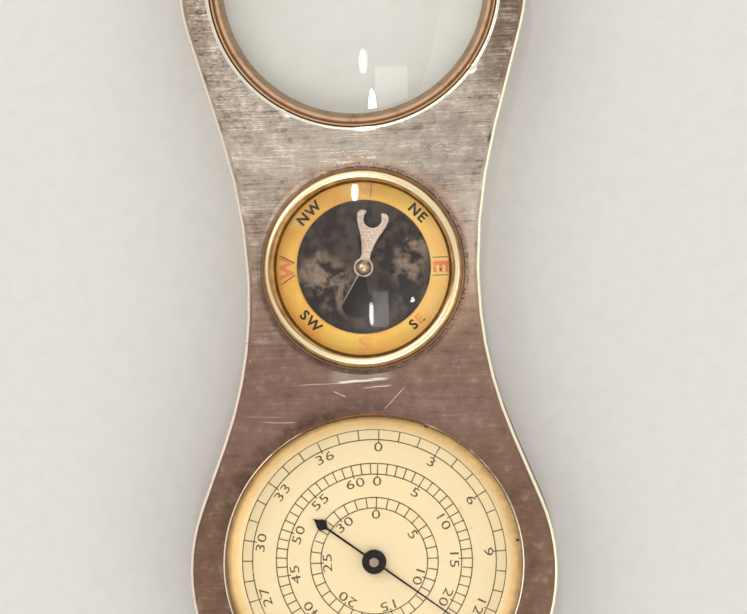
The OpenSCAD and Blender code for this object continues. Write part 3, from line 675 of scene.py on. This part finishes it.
# painted shade at the ring's inner edge and under the bezel's lip, painted shade on the left and at the top,
# painted light on the right
amberShadeAndStain = amberEdge.step(9.9, 10.6).above(amberEdge.step(8.55, 8.3))
amberSideShade = amber.x.step(0.0, -10.0) * 0.25 + amber.y.step(2.0, 10.0) * 0.2
amberShadeAndGrain = amberShadeAndStain * 0.2 + amberSideShade * 0.45 + (amberGrain - 0.5) * 0.2
amberColour = amber.layers(compassLook["amber"], (amberCloud.step(0.38, 0.72), compassLook["amberDeep"]),
                           (amberShadeAndGrain, compassLook["amberShadeAndStain"]),
                           (amber.x.step(2.0, 10.0) * 0.45, compassLook["amberLightRight"]))
amber.set(colour=amberColour, rough=0.4 + amberGrain * 0.15, normal=amber.bump(amberGrain, 0.01, 0.3))
dress(cadNodes["compass_letter_ring"], amber)

blackDisc = Finish("blackDisc", shine=0.1)
smearPlace = blackDisc.stretched(1.0, 0.8, 1.0, turn=35.0, shift=(1.5, 4.0, 0.0))
smear = blackDisc.noise(0.3, 5.0, smearPlace, 0.62, 0.9)
mottle = blackDisc.noise(0.9, 4.0, rough=0.65)
# painted reflections in patches at the lower left and the right, over grey dust smudges everywhere
reflectionPatches = blackDisc.stroke((-4.6, -1.6), 4.4, 3.6, -40.0).above(blackDisc.stroke((5.6, 1.0), 3.4, 2.6, 75.0))
smudgesAndReflections = (smear * 0.6 + mottle * 0.4).step(0.42, 0.6) * (reflectionPatches * 0.85 + 0.22)
blackDisc.set(colour=blackDisc.mix(smudgesAndReflections, compassLook["black"], compassLook["smudgeAndReflection"]),
              rough=0.24 + smudgesAndReflections * 0.4, normal=blackDisc.bump(smear, 0.03, 0.3))
dress(cadNodes["compass_disc"], blackDisc)

innerBrass = Finish("innerBrass", metal=1.0)
innerTone = innerBrass.noise(0.9, 4.0, rough=0.6)
innerColour = innerBrass.mix(innerTone.step(0.3, 0.8), compassLook["brass"], compassLook["brassDark"])
innerBrass.set(colour=innerColour, rough=0.3 + innerTone * 0.2)
dress(cadNodes["compass_case"], innerBrass)

spacerBrass = Finish("spacerBrass", metal=0.3, rough=0.5)
spacerTone = spacerBrass.noise(1.2, 3.0).step(0.4, 0.8) * 0.4
spacerBrass.set(colour=spacerBrass.mix(spacerTone, compassLook["brassSide"], compassLook["brassBrown"]))
dress(cadNodes["compass_spacer_ring"], spacerBrass)

bezelLow, bezelHigh = sizeOf("compass_bezel")
bezelFoot = radiusOf("compass_bezel")
beadHalf, beadRise = 0.74, 0.72  # the bead's cross-section is half an ellipse
beadMiddle = bezelFoot - 0.24 - beadHalf
beadFootZ = bezelHigh.z - beadRise
innerLip = 10.5  # where the bezel's inner edge lies over the lettered ring
innerLipZ = faceZ + 0.42

bezelMetal = Finish("bezelBrass", metal=1.0)
bezelTone = bezelMetal.noise(0.5, 4.0, rough=0.6)
bezelLines = bezelMetal.noise(1.0, 2.0, bezelMetal.stretched(0.4, 0.4, 5.0), 0.6)
bezelR = bezelMetal.radius(compassCentre)
upwards = bezelMetal.y / bezelR
rightwards = bezelMetal.x / bezelR
# a painted highlight along the bead, on its outer side at the top and its inner side at the bottom, as if lit
# from above
crest = abs(bezelR - beadMiddle - 0.2 - upwards * 0.14 + abs(upwards) * 0.18 + rightwards * 0.08)
crestHalf = 0.2 + abs(upwards) * 0.16 + rightwards * 0.06  # the painted highlight is widest at top and bottom
bezelHighlight = (crest / crestHalf).step(1.2, 0.7)
fromLip = bezelR - innerLip
# painted shade in the crease at the bead's inner foot and at the bezel's inner edge against the glass
bezelCreaseShade = fromLip.step(0.3, 0.24) * fromLip.step(0.14, 0.2)
bezelInnerShade = fromLip.step(0.14, 0.02).above(bezelCreaseShade * 0.5)
bezelRim = bezelR.step(bezelFoot - 0.32, bezelFoot - 0.22)
bezelColour = bezelMetal.layers(
    compassLook["brassSide"], (bezelTone.step(0.3, 0.7), compassLook["brassBrown"]),
    (bezelHighlight, compassLook["brassHighlight"]), (bezelInnerShade * 0.9, compassLook["brassDark"]),
    (bezelRim * 0.85, caseLook["agedAndDim"]))
bezelMetal.set(colour=bezelColour, rough=0.16 + bezelTone * 0.14,
               normal=bezelMetal.bump(bezelTone + bezelLines * 0.5, 0.04, 0.3))

bezelProfile = [(innerLip, bezelLow.z), (bezelFoot, bezelLow.z), (bezelFoot, bezelLow.z + 0.3),
                (bezelFoot - 0.12, bezelLow.z + 0.36)]
beadCurve = arcPoints((0, 0), 1, -12, 190, 26)
bezelProfile += [(beadMiddle + x * beadHalf, beadFootZ + z * beadRise) for x, z in beadCurve]
bezelProfile += arcPoints((innerLip + 0.06, innerLipZ - 0.14), 0.06, 120, 180, 3)
bezel = turned(bezelProfile, compassCentre, 240)
finished(bezel, "compass_bezel_ring", bezelMetal, "bezel_brass", "compass_bezel")

solderMetal = caseMetal("solderMetal", caseLook, rimHighlighted=False, marked=False)
pits = solderMetal.cells(3.4).step(0.34, 0.14)
solderTone = solderMetal.noise(1.3, 4.0, rough=0.7)
solderR = solderMetal.radius(compassCentre)
crack = solderR.step(bezelFoot + 0.2, bezelFoot + 0.04) * solderTone.step(0.3, 0.5)
spilled = (solderMetal.x + solderMetal.y * 0.6).step(-2.0, 8.0)  # the joint is roughest at the upper right
dark = (pits * spilled * 0.9).above(crack * (0.6 + spilled * 0.3)).above(solderTone.step(0.55, 0.7) * 0.5)
solderMetal.set(colour=solderMetal.mix(dark, solderMetal.colour, compassLook["solderDark"]),
                rough=0.42, normal=solderMetal.bump(pits * spilled, -0.08, 0.9))
solderLow, solderHigh = sizeOf("compass_solder")
solderEdge = radiusOf("compass_solder")
solderProfile = [(bezelFoot - 0.05, solderLow.z)]
solderProfile += [(solderEdge - x, solderLow.z + z) for x, z in ((0, 0), (0.16, 0.06), (0.34, 0.12))]
solderProfile += [(bezelFoot + 0.04, solderHigh.z), (bezelFoot - 0.05, solderHigh.z)]
solder = turned(solderProfile, compassCentre, 300)
for vertex in solder.data.vertices:
    vertex.select = (solder.matrix_world @ vertex.co).z / mm > solderLow.z + 0.01
toMode("EDIT")
bpy.ops.transform.vertex_random(offset=0.05 * mm, seed=4)
finished(solder, "compass_solder_fillet", solderMetal, "solder", "compass_solder")

compassGlassLow, compassGlassHigh = sizeOf("compass_glass")
glassFlangeR = radiusOf("compass_glass")
domeR = innerLip - 0.02
shellT = 0.18
domeStart = faceZ + 0.02
compassDome = compassGlassHigh.z - domeStart
glassProfile = domePoints(domeR - 0.03, domeStart - shellT, compassDome, 24)[::-1]
glassProfile += [(domeR - 0.03, compassGlassLow.z), (glassFlangeR, compassGlassLow.z),
                 (glassFlangeR, domeStart - 0.05), (domeR, domeStart - 0.05)]
glassProfile += domePoints(domeR, domeStart, compassDome, 24)
clearGlass = glassFinish("clearGlass", watchTint, 1.6, 0.64, compassIor, 0.14)
finished(turned(glassProfile, compassCentre), "compass_dome_glass", clearGlass, "glass", "compass_glass")

needleLook = {
    "eyeR": 1.2, "neckHalf": 0.54, "neckY": 1.7, "headY": 6.28, "headHalf": 1.97, "headRound": 0.68,
    "notchY": 6.05, "notchR": 1.12, "hookR": 0.22, "tailHalf": 1.8, "tailY": -4.9,
    "flank": ((0.78, 2.9), (1.12, 3.95), (1.5, 4.75), (1.8, 5.45)),
    "tailEnd": ((0.0, -6.2), (0.72, -6.16), (1.44, -5.75)),
    "speckle": srgb(146, 124, 108),
}


def needleOutline(look):
    tipX = look["headHalf"] - look["headRound"]
    hookY = look["headY"] + look["headRound"] - look["hookR"]
    half = [*look["tailEnd"], (look["tailHalf"], look["tailY"]), (look["neckHalf"], 0.1 - look["eyeR"])]
    half += arcPoints((0, 0), look["eyeR"], -60, 60, 12)
    half += [(look["neckHalf"], look["neckY"]), *look["flank"]]
    half += arcPoints((tipX, look["headY"]), look["headRound"], -22, 98, 10)
    half += arcPoints((tipX - 0.14, hookY), look["hookR"], 105, 215, 6)
    half += arcPoints((0, look["notchY"]), look["notchR"], 26, -90, 12)
    return mirrored(half)


needleMetal = Finish("needleMetal", shine=0.05)
turnedPlace = needleMetal.stretched(1.0, 1.0, 1.0, turn=-compassLook["needleTurn"])
needleAlong = needleMetal.part(turnedPlace, "Y")
needleSide = needleMetal.part(turnedPlace, "X")
south = needleAlong.step(-1.0, -1.15)
tailSlope = (needleLook["tailHalf"] - needleLook["neckHalf"]) / (-needleLook["tailY"] - needleLook["eyeR"])
fromEdge = needleSide + needleLook["neckHalf"] - (needleAlong + needleLook["eyeR"]) * tailSlope
litEdge = fromEdge.step(0.16, 0.05) * needleAlong.step(-5.2, -4.6)
needleGrain = needleMetal.noise(4.5, 3.0, rough=0.7)
speckles = needleGrain.step(0.42, 0.62) * 0.75
needleColour = needleMetal.layers(compassLook["needle"], (speckles, needleLook["speckle"]),
                                  (south * (1.0 - litEdge * 0.7), compassLook["needleDark"]))
needleMetal.set(colour=needleColour, metal=0.85 - south * 0.85, rough=0.42 - south * 0.12,
                normal=needleMetal.bump(needleGrain, 0.015, 0.6))
needle = cutOut(needleOutline(needleLook), compassCentre, compassLook["needleTurn"],
                "compass_needle", bevel=0.05)
finished(needle, "needle_blade", needleMetal, "needle_metal", "compass_needle", body="needle_group")

capMetal = Finish("capMetal", metal=1.0)
capMask = capMetal.radius(compassCentre).step(0.86, 0.96)
capTone = capMetal.noise(2.5, 3.0)
capColour = capMetal.layers(compassLook["bronze"], (capMask, compassLook["silver"]),
                            (capTone.step(0.52, 0.66), compassLook["capSpeck"]))
capMetal.set(colour=capColour, rough=0.2 + capTone * 0.1, normal=capMetal.bump(capTone, 0.03, 0.4))
dress(cadNodes["needle_cap"], capMetal)


def onRing(radius, angle, centre):
    a = math.radians(angle)
    return (centre.x + radius * math.cos(a), centre.y + radius * math.sin(a))


printT = 0.012  # how thick the ink is


def printed(text, radius, angle, size, turn, centre, height, wide=1.0, bold=0.0, spacing=1.0):
    # one label whose middle lies at that radius and angle
    selectNothing()
    place = Vector((*onRing(radius, angle, centre), height)) * mm
    bpy.ops.object.text_add(location=place, rotation=(0, 0, math.radians(turn)))
    label = bpy.context.object
    label.data.body = text
    label.data.size = size * mm
    label.data.space_character = spacing
    label.data.align_x = "CENTER"
    label.data.align_y = "CENTER"
    label.data.extrude = printT / 2 * mm
    label.data.offset = bold * mm
    label.data.resolution_u = 3
    label.scale.x = wide
    bpy.ops.object.convert(target="MESH")
    bpy.ops.object.transform_apply(location=True, rotation=True, scale=True)
    return bpy.context.object


def strip(start, end, width, low, high):
    # a thin bar between two places
    start, end = Vector(start), Vector(end)
    middle, along = (start + end) / 2, end - start
    selectNothing()
    bpy.ops.mesh.primitive_cube_add(size=mm, location=Vector((middle.x, middle.y, (low + high) / 2)) * mm,
                                    rotation=(0, 0, math.atan2(along.y, along.x)),
                                    scale=(along.length, width, high - low))
    bpy.ops.object.transform_apply(location=True, rotation=True, scale=True)
    return bpy.context.object


ringInk = Finish("letterInk", shine=0.3, rough=0.6)
inkWear = ringInk.noise(1.5, 3.0, rough=0.7)
eastOfSouth = ringInk.stroke((7.1, -6.2), 1.4, 1.6, 45.0)  # this letter is nearly gone
inkFade = inkWear.step(0.58, 0.85).above(eastOfSouth * inkWear.step(0.35, 0.5) * 0.85)
ringInk.set(colour=ringInk.mix(inkFade, compassLook["letterInk"], compassLook["amberDeep"]))
ringRed = Finish("letterRed", shine=0.3, rough=0.6)
redWear = ringRed.noise(1.1, 3.0, rough=0.7)
redFade = redWear.step(0.58, 0.85).above(abs(ringRed.y).step(3.0, 7.0) * 0.55)  # north and south have faded
ringRed.set(colour=ringRed.mix(redFade, compassLook["letterRed"], compassLook["amber"]))

letterLook = {
    # letters: direction on the ring, upright outwards (-1) or inwards (1), height of the letters' box
    "corners": (("NW", 134.8, -1, 1.7), ("NE", 44.5, -1, 1.7), ("SW", 224.8, 1, 1.75), ("SE", 313.4, 1, 1.7)),
    "cardinals": (("E", 0, 2.5, 1.2), ("W", 180, 2.3, 1.15), ("S", 270, 2.6, 1.3), ("N", 90, 2.5, 1.1)),
    "radius": 9.36,
    # worn outlines of the east, west and north marks: radius and angle of both ends, and width
    "outlines": (
        (8.5, -8.736, 10.4, -7.332, 0.09), (8.5, 6.048, 10.4, 5.076, 0.09), (8.5, 184.6, 10.3, 190.0, 0.11),
        (8.5, 174.8, 10.3, 170.4, 0.11), (8.6, 82.4, 10.3, 82.6, 0.07),
    ),
    "dot": (9.4, -3.7, 0.13),  # on the east mark: radius and angle of its place, and its own radius
}
letterR = letterLook["radius"]
inkZ = ringZ + printT / 2 + 0.004
inkLow, inkHigh = inkZ - printT / 2, inkZ + printT / 2
blackLetters = []
for text, direction, upright, size in letterLook["corners"]:
    angle = direction + compassLook["ringTurn"]
    blackLetters.append(printed(text, letterR, angle, size, angle + 90 * upright, compassCentre, inkZ,
                                wide=1.05, bold=0.055, spacing=1.2))
for startR, startAngle, endR, endAngle, width in letterLook["outlines"]:
    start, end = onRing(startR, startAngle, compassCentre), onRing(endR, endAngle, compassCentre)
    blackLetters.append(strip(start, end, width, inkLow, inkHigh))
dotPlaceR, dotAngle, dotR = letterLook["dot"]
dotProfile = [(0.0, inkLow), (dotR, inkLow), (dotR, inkHigh), (0.0, inkHigh)]
blackLetters.append(turned(dotProfile, Vector((*onRing(dotPlaceR, dotAngle, compassCentre), 0)), 16))
finished(joined(blackLetters), "compass_letters", ringInk, "letter_ring", sharpAngle=None)
redLetters = []
for text, direction, size, wide in letterLook["cardinals"]:
    angle = direction + compassLook["ringTurn"]
    redLetters.append(printed(text, letterR, angle, size, angle - 90, compassCentre, inkZ - 0.003,
                              wide=wide, bold=0.1))
finished(joined(redLetters), "compass_cardinals", ringRed, "letter_ring", sharpAngle=None)
print("compass")


# Dial: a cream card with three printed scales in a gilt sloping ring, under a domed glass

dialLook = {
    "cream": srgb(233, 214, 175),
    "creamDeep": srgb(230, 209, 165),
    "foxing": srgb(196, 142, 84),
    "ink": srgb(92, 80, 48),
    "gilt": srgb(245, 209, 146),
    "giltPale": srgb(255, 232, 186),
    "openingHighlight": srgb(236, 200, 164),
    "giltBrown": srgb(120, 80, 40),
    "giltSpot": srgb(146, 100, 68),
    "black": srgb(20, 16, 14),
    "blackWorn": srgb(40, 26, 20),
    "giltDots": ((6.97, -19.67), (17.7, -34.0)),  # two small dark specks on the ring
    "zeroTurn": -4.1,  # degrees that the scales' zero stands off the case's axis
}

card = Finish("dialCard", shine=0.25)
cardCloud = card.noise(0.12, 4.0, rough=0.6, warp=0.4)
cardSpots = card.noise(0.9, 4.0, rough=0.7)
cardEdge = card.radius(dialCentre).step(11.0, 16.6)
cardAge = (cardCloud.step(0.4, 0.75) * 0.5).above(cardEdge * 0.4)
foxing = cardSpots.step(0.58, 0.8) * (0.25 + card.x.step(0.0, 18.0) * 0.6)
cardColour = card.layers(dialLook["cream"], (cardAge, dialLook["creamDeep"]),
                         (foxing * 0.6, dialLook["foxing"]))
card.set(colour=cardColour, rough=0.55 + cardSpots * 0.2, normal=card.bump(cardSpots, 0.01, 0.2))
dress(cadNodes["dial"], card)

gilt = Finish("giltRing", metal=0.75)
giltR = gilt.radius(dialCentre)
giltTone = gilt.noise(0.5, 4.0, rough=0.65)
giltStain = gilt.noise(0.5, 5.0, rough=0.75).step(0.42, 0.6) * giltR.step(16.7, 17.8)
giltStain = giltStain * (0.3 + gilt.x.step(-2.0, 14.0) * 0.4)
giltSpots = gilt.noise(1.6, 4.0, rough=0.7).step(0.6, 0.75).above(giltStain)
# painted shadow along the ring's outer edge under the plate, lighter on the right
giltEdgeShadow = giltR.step(17.3, 18.1) * (0.8 - gilt.x.step(0.0, 14.0) * 0.3)
giltDots = [(gilt.stroke(dot, 0.24, 0.22, 0.0), dialLook["black"]) for dot in dialLook["giltDots"]]
giltColour = gilt.layers(dialLook["giltPale"], (giltR.step(16.2, 17.4), dialLook["gilt"]),
                         (giltSpots * 0.4, dialLook["giltSpot"]),
                         (giltEdgeShadow + (giltTone - 0.5) * 0.3, dialLook["giltBrown"]), *giltDots)
gilt.set(colour=giltColour, rough=0.28 + giltTone * 0.2, normal=gilt.bump(giltTone, 0.02, 0.3))
dress(cadNodes["dial_sloping_ring"], gilt)

dialInk = Finish("dialInk", shine=0.3, rough=0.6)
dialInkWear = dialInk.noise(1.3, 4.0, rough=0.7)
dialInk.set(colour=dialInk.mix(dialInkWear.step(0.5, 0.85) * 0.8, dialLook["ink"], dialLook["creamDeep"]))

scales = {
    # outer circle, inner circle, units in a full turn, last tick, label step, last label, label radius
    "outer": (16.25, 15.0, 39.0, 38, 3, 36, 14.05),
    "middle": (12.07, 10.75, 62.76, 62, 5, 60, 9.8),
    "inner": (7.86, 6.56, 33.9, 33, 5, 30, 5.72),
}
lineW = 0.14
longTick = 0.35  # how far a tick with a number stands out inwards
numberSize = 1.62
printZ = dialZ + printT / 2 + 0.003

dialParts = []
low, high = printZ - printT / 2, printZ + printT / 2
for outerR, innerR, units, lastTick, labelStep, lastLabel, labelR in scales.values():
    for r in (outerR, innerR):
        inside, outside = r - lineW / 2, r + lineW / 2
        circle = [(inside, low), (outside, low), (outside, high), (inside, high)]
        dialParts.append(turned(circle, dialCentre, 240))
    tickParts = []
    for tick in range(lastTick + 1):
        labelled = tick % labelStep == 0 and tick <= lastLabel
        angle = 90 + dialLook["zeroTurn"] - 360 * tick / units
        tickIn = innerR - (longTick if labelled else 0)
        place = Vector((*onRing((outerR + tickIn) / 2, angle, dialCentre), printZ))
        tickParts.append((place, math.radians(angle), outerR - tickIn))
    selectNothing()
    bpy.ops.mesh.primitive_cube_add(size=mm, location=tickParts[0][0] * mm)
    dialParts.append(bpy.context.object)
    editing()
    bpy.ops.mesh.delete(type="VERT")
    for place, angle, length in tickParts:
        bpy.ops.mesh.primitive_cube_add(size=mm, location=place * mm, rotation=(0, 0, angle),
                                        scale=(length, lineW, printT))
    toMode("OBJECT")
    for value in range(0, lastLabel + 1, labelStep):
        angle = 90 + dialLook["zeroTurn"] - 360 * value / units
        dialParts.append(printed(str(value), labelR, angle, numberSize, angle - 90, dialCentre, printZ,
                                 wide=1.45, spacing=1.08))
finished(joined(dialParts), "dial_print", dialInk, "dial_card", sharpAngle=None)

dialOpenR = 18.2
openingEdge = [(dialOpenR, faceZ - 0.1), (dialOpenR + 0.2, faceZ - 0.1), (dialOpenR + 0.2, faceZ)]
openingEdge += arcPoints((dialOpenR + 0.09, faceZ - 0.03), 0.06, 50, 180, 8)
openingMetal = Finish("openingMetal", metal=1.0)
# the opening's rim is a painted highlight: browner in patches and towards the lens, and the lens lip's
# highlight cream away from the lens
openingBrowning = openingMetal.noise(0.16, 4.0, rough=0.6) + openingMetal.y.step(-26.0, -17.0) * 0.25
openingColour = openingMetal.layers(
    dialLook["openingHighlight"], (openingBrowning.step(0.42, 0.66), dialLook["giltBrown"]),
    (openingMetal.y.step(-24.0, -33.0) * 0.8, lensLook["lip"]))
openingMetal.set(colour=openingColour, rough=0.2 + openingBrowning * 0.1)
finished(turned(openingEdge, dialCentre, 240), "dial_opening_edge", openingMetal, "lip_metal")

dialGlassLow, dialGlassHigh = sizeOf("dial_glass")
dialFlangeR = radiusOf("dial_glass")
dialGlassLook = {
    "flangeTop": 8.18, "thickness": 0.2, "wall": 0.12, "shoulderR": 16.6, "shoulderRise": 0.8, "dome": 0.7,
    "corner": ((0.0, 0.0), (0.12, 0.16), (0.4, 0.36)),  # steps inwards and upwards from the wall's top
}
glassR = dialOpenR - 0.03
glassInner = glassR - dialGlassLook["wall"]


def dialGlassCurve(edgeR, lift, look):
    # from the glass's wall over its shoulder to its middle
    shoulderZ = dialGlassHigh.z - look["dome"] + lift
    wallTop = shoulderZ - look["shoulderRise"]
    points = [(edgeR - x, wallTop + z) for x, z in look["corner"]]
    points += [(look["shoulderR"] + 0.6, shoulderZ - 0.2)]
    return points + domePoints(look["shoulderR"], shoulderZ, look["dome"], 30)


dialGlassProfile = dialGlassCurve(glassInner, -dialGlassLook["thickness"], dialGlassLook)[::-1]
dialGlassProfile += [(glassInner, dialGlassLow.z), (dialFlangeR, dialGlassLow.z),
                     (dialFlangeR, dialGlassLook["flangeTop"]), (glassR, dialGlassLook["flangeTop"])]
dialGlassProfile += dialGlassCurve(glassR, 0.0, dialGlassLook)
dialClear = glassFinish("dialGlass", watchTint, 1.6, 0.64, dialIor, 0.0)
finished(turned(dialGlassProfile, dialCentre), "dial_dome_glass", dialClear, "glass", "dial_glass")

handLook = {
    "turn": -37.0,  # degrees from the case's right-hand side to the long arm
    "long": 15.2, "short": 9.2, "armHalf": 0.13, "tipHalf": 0.06, "hubR": 1.1,
    "headLength": 2.2, "headR": 0.68, "headMiddle": 1.32, "bossR": 1.5, "bossRound": 0.35,
    "point": ((0.7, 0.34), (0.36, 0.14), (0.0, 0.0)),
}
bossLow, bossHigh = sizeOf("hand_boss")


def handOutline(look):
    # the long arm points along +X; half of the edge, then its mirror image
    tip = -look["short"]
    hubEnd = math.degrees(math.asin(look["armHalf"] / look["hubR"]))
    half = [(look["long"], 0.0), (look["long"] - 0.05, look["tipHalf"])]
    half += arcPoints((0, 0), look["hubR"], hubEnd, 180 - hubEnd, 14)
    half += [(tip + look["headLength"], look["armHalf"])]
    half += arcPoints((tip + look["headMiddle"], 0), look["headR"], 20, 128, 12)
    half += [(tip + x, y) for x, y in look["point"]]
    return half + [(x, -y) for x, y in reversed(half[1:-1])]


bossR, bossRound = handLook["bossR"], handLook["bossRound"]
arborR = radiusOf("middle_arbor")
bossProfile = [(arborR + 0.01, bossLow.z), (bossR, bossLow.z)]
bossProfile += arcPoints((bossR - bossRound, bossHigh.z - bossRound), bossRound, 0, 80, 8)
bossProfile += [(arborR + x, bossHigh.z - z) for x, z in ((0.25, 0), (0.12, 0.03), (0.01, 0.1))]
blackPaint = Finish("handBlack", shine=0.2)
paintTone = blackPaint.noise(3.0, 3.0)
blackPaint.set(colour=blackPaint.mix(paintTone.step(0.4, 0.8), dialLook["black"], dialLook["blackWorn"]),
               rough=0.3 + paintTone * 0.2, normal=blackPaint.bump(paintTone, 0.02, 0.4))
hand = cutOut(handOutline(handLook), dialCentre, handLook["turn"], "hand", bevel=0.025)
finished(hand, "dial_hand", blackPaint, "hand_black", "hand", body="hand_group")
boss = turned(bossProfile, dialCentre, 96)
finished(boss, "dial_hand_boss", blackPaint, "hand_black", "hand_boss", body="hand_group")
print("dial")


# What is inside and behind: brass plates and gears, steel arbors and screws, the measuring wheel

innerLook = {
    # name: colour, dark colour, roughness, scale of the grain, and the nodes that have it
    "plateBrass": (srgb(226, 190, 112), srgb(168, 124, 62), 0.3, 1.5, (
        "case_posts", "movement_front_plate", "movement_back_plate", "movement_pillars", "centre_gear",
        "lower_gear")),
    "arborSteel": (srgb(150, 136, 122), srgb(92, 80, 70), 0.34, 4.0, (
        "compass_pivot_post", "middle_arbor", "lower_arbor", "upper_pinion", "wheel_arbor", "wheel_pinion")),
    "screwSteel": (srgb(206, 198, 180), srgb(130, 112, 88), 0.3, 3.0, ("back_screws", "movement_screws")),
    "wheelNickel": (srgb(214, 202, 178), srgb(128, 106, 80), 0.32, 2.5, ("measuring_wheel",)),
}
for name, (colour, dark, rough, grainScale, innerNodes) in innerLook.items():
    metal = Finish(name, metal=1.0)
    tone = metal.noise(grainScale, 4.0, rough=0.6)
    broad = metal.noise(0.2, 3.0)
    metal.set(colour=metal.mix(tone.step(0.35, 0.85) * 0.5 + (broad - 0.4) * 0.3, colour, dark),
              rough=rough + (tone - 0.5) * 0.15, normal=metal.bump(tone, 0.008, 0.4))
    for node in innerNodes:
        dress(cadNodes[node], metal)
print("movement and back")


# Floor and surroundings

floorLook = {
    "colour": srgb(227, 225, 220), "fleck": srgb(224, 222, 217), "below": 0.02,
    "zenith": 0.68, "horizon": 1.0, "lensEndLift": 0.12, "light": (1.0, 0.99, 0.97, 1.0),
}

selectNothing()
bpy.ops.mesh.primitive_plane_add(size=4, location=(0, 0, -floorLook["below"] * mm))
floor = bpy.context.object
floor.name = "floor"
paper = Finish("floorPaper", rough=0.8, shine=0.2)
paper.set(colour=paper.mix(paper.noise(0.5, 3.0).step(0.4, 0.7), floorLook["colour"], floorLook["fleck"]))
dress(floor, paper)

world = bpy.data.worlds.new("studio")
bpy.context.scene.world = world
world.use_nodes = True
sky = Wire(world.node_tree)
direction = sky.node("TexCoord", {}, {}, "Generated")
height = sky.node("SeparateXYZ", {}, {0: direction}, "Z")
lensEnd = sky.node("SeparateXYZ", {}, {0: direction}, "Y")
light = sky.node("MapRange", {"interpolation_type": "SMOOTHSTEP"},
                 {0: height, 1: 0.1, 2: 0.95, 3: floorLook["horizon"], 4: floorLook["zenith"]})
light = light * (1.0 + lensEnd * floorLook["lensEndLift"])  # the room is a little brighter beyond the lens
backdrop = world.node_tree.nodes["Background"]
backdrop.inputs["Color"].default_value = floorLook["light"]
world.node_tree.links.new(light.socket, backdrop.inputs["Strength"])

print("finished")
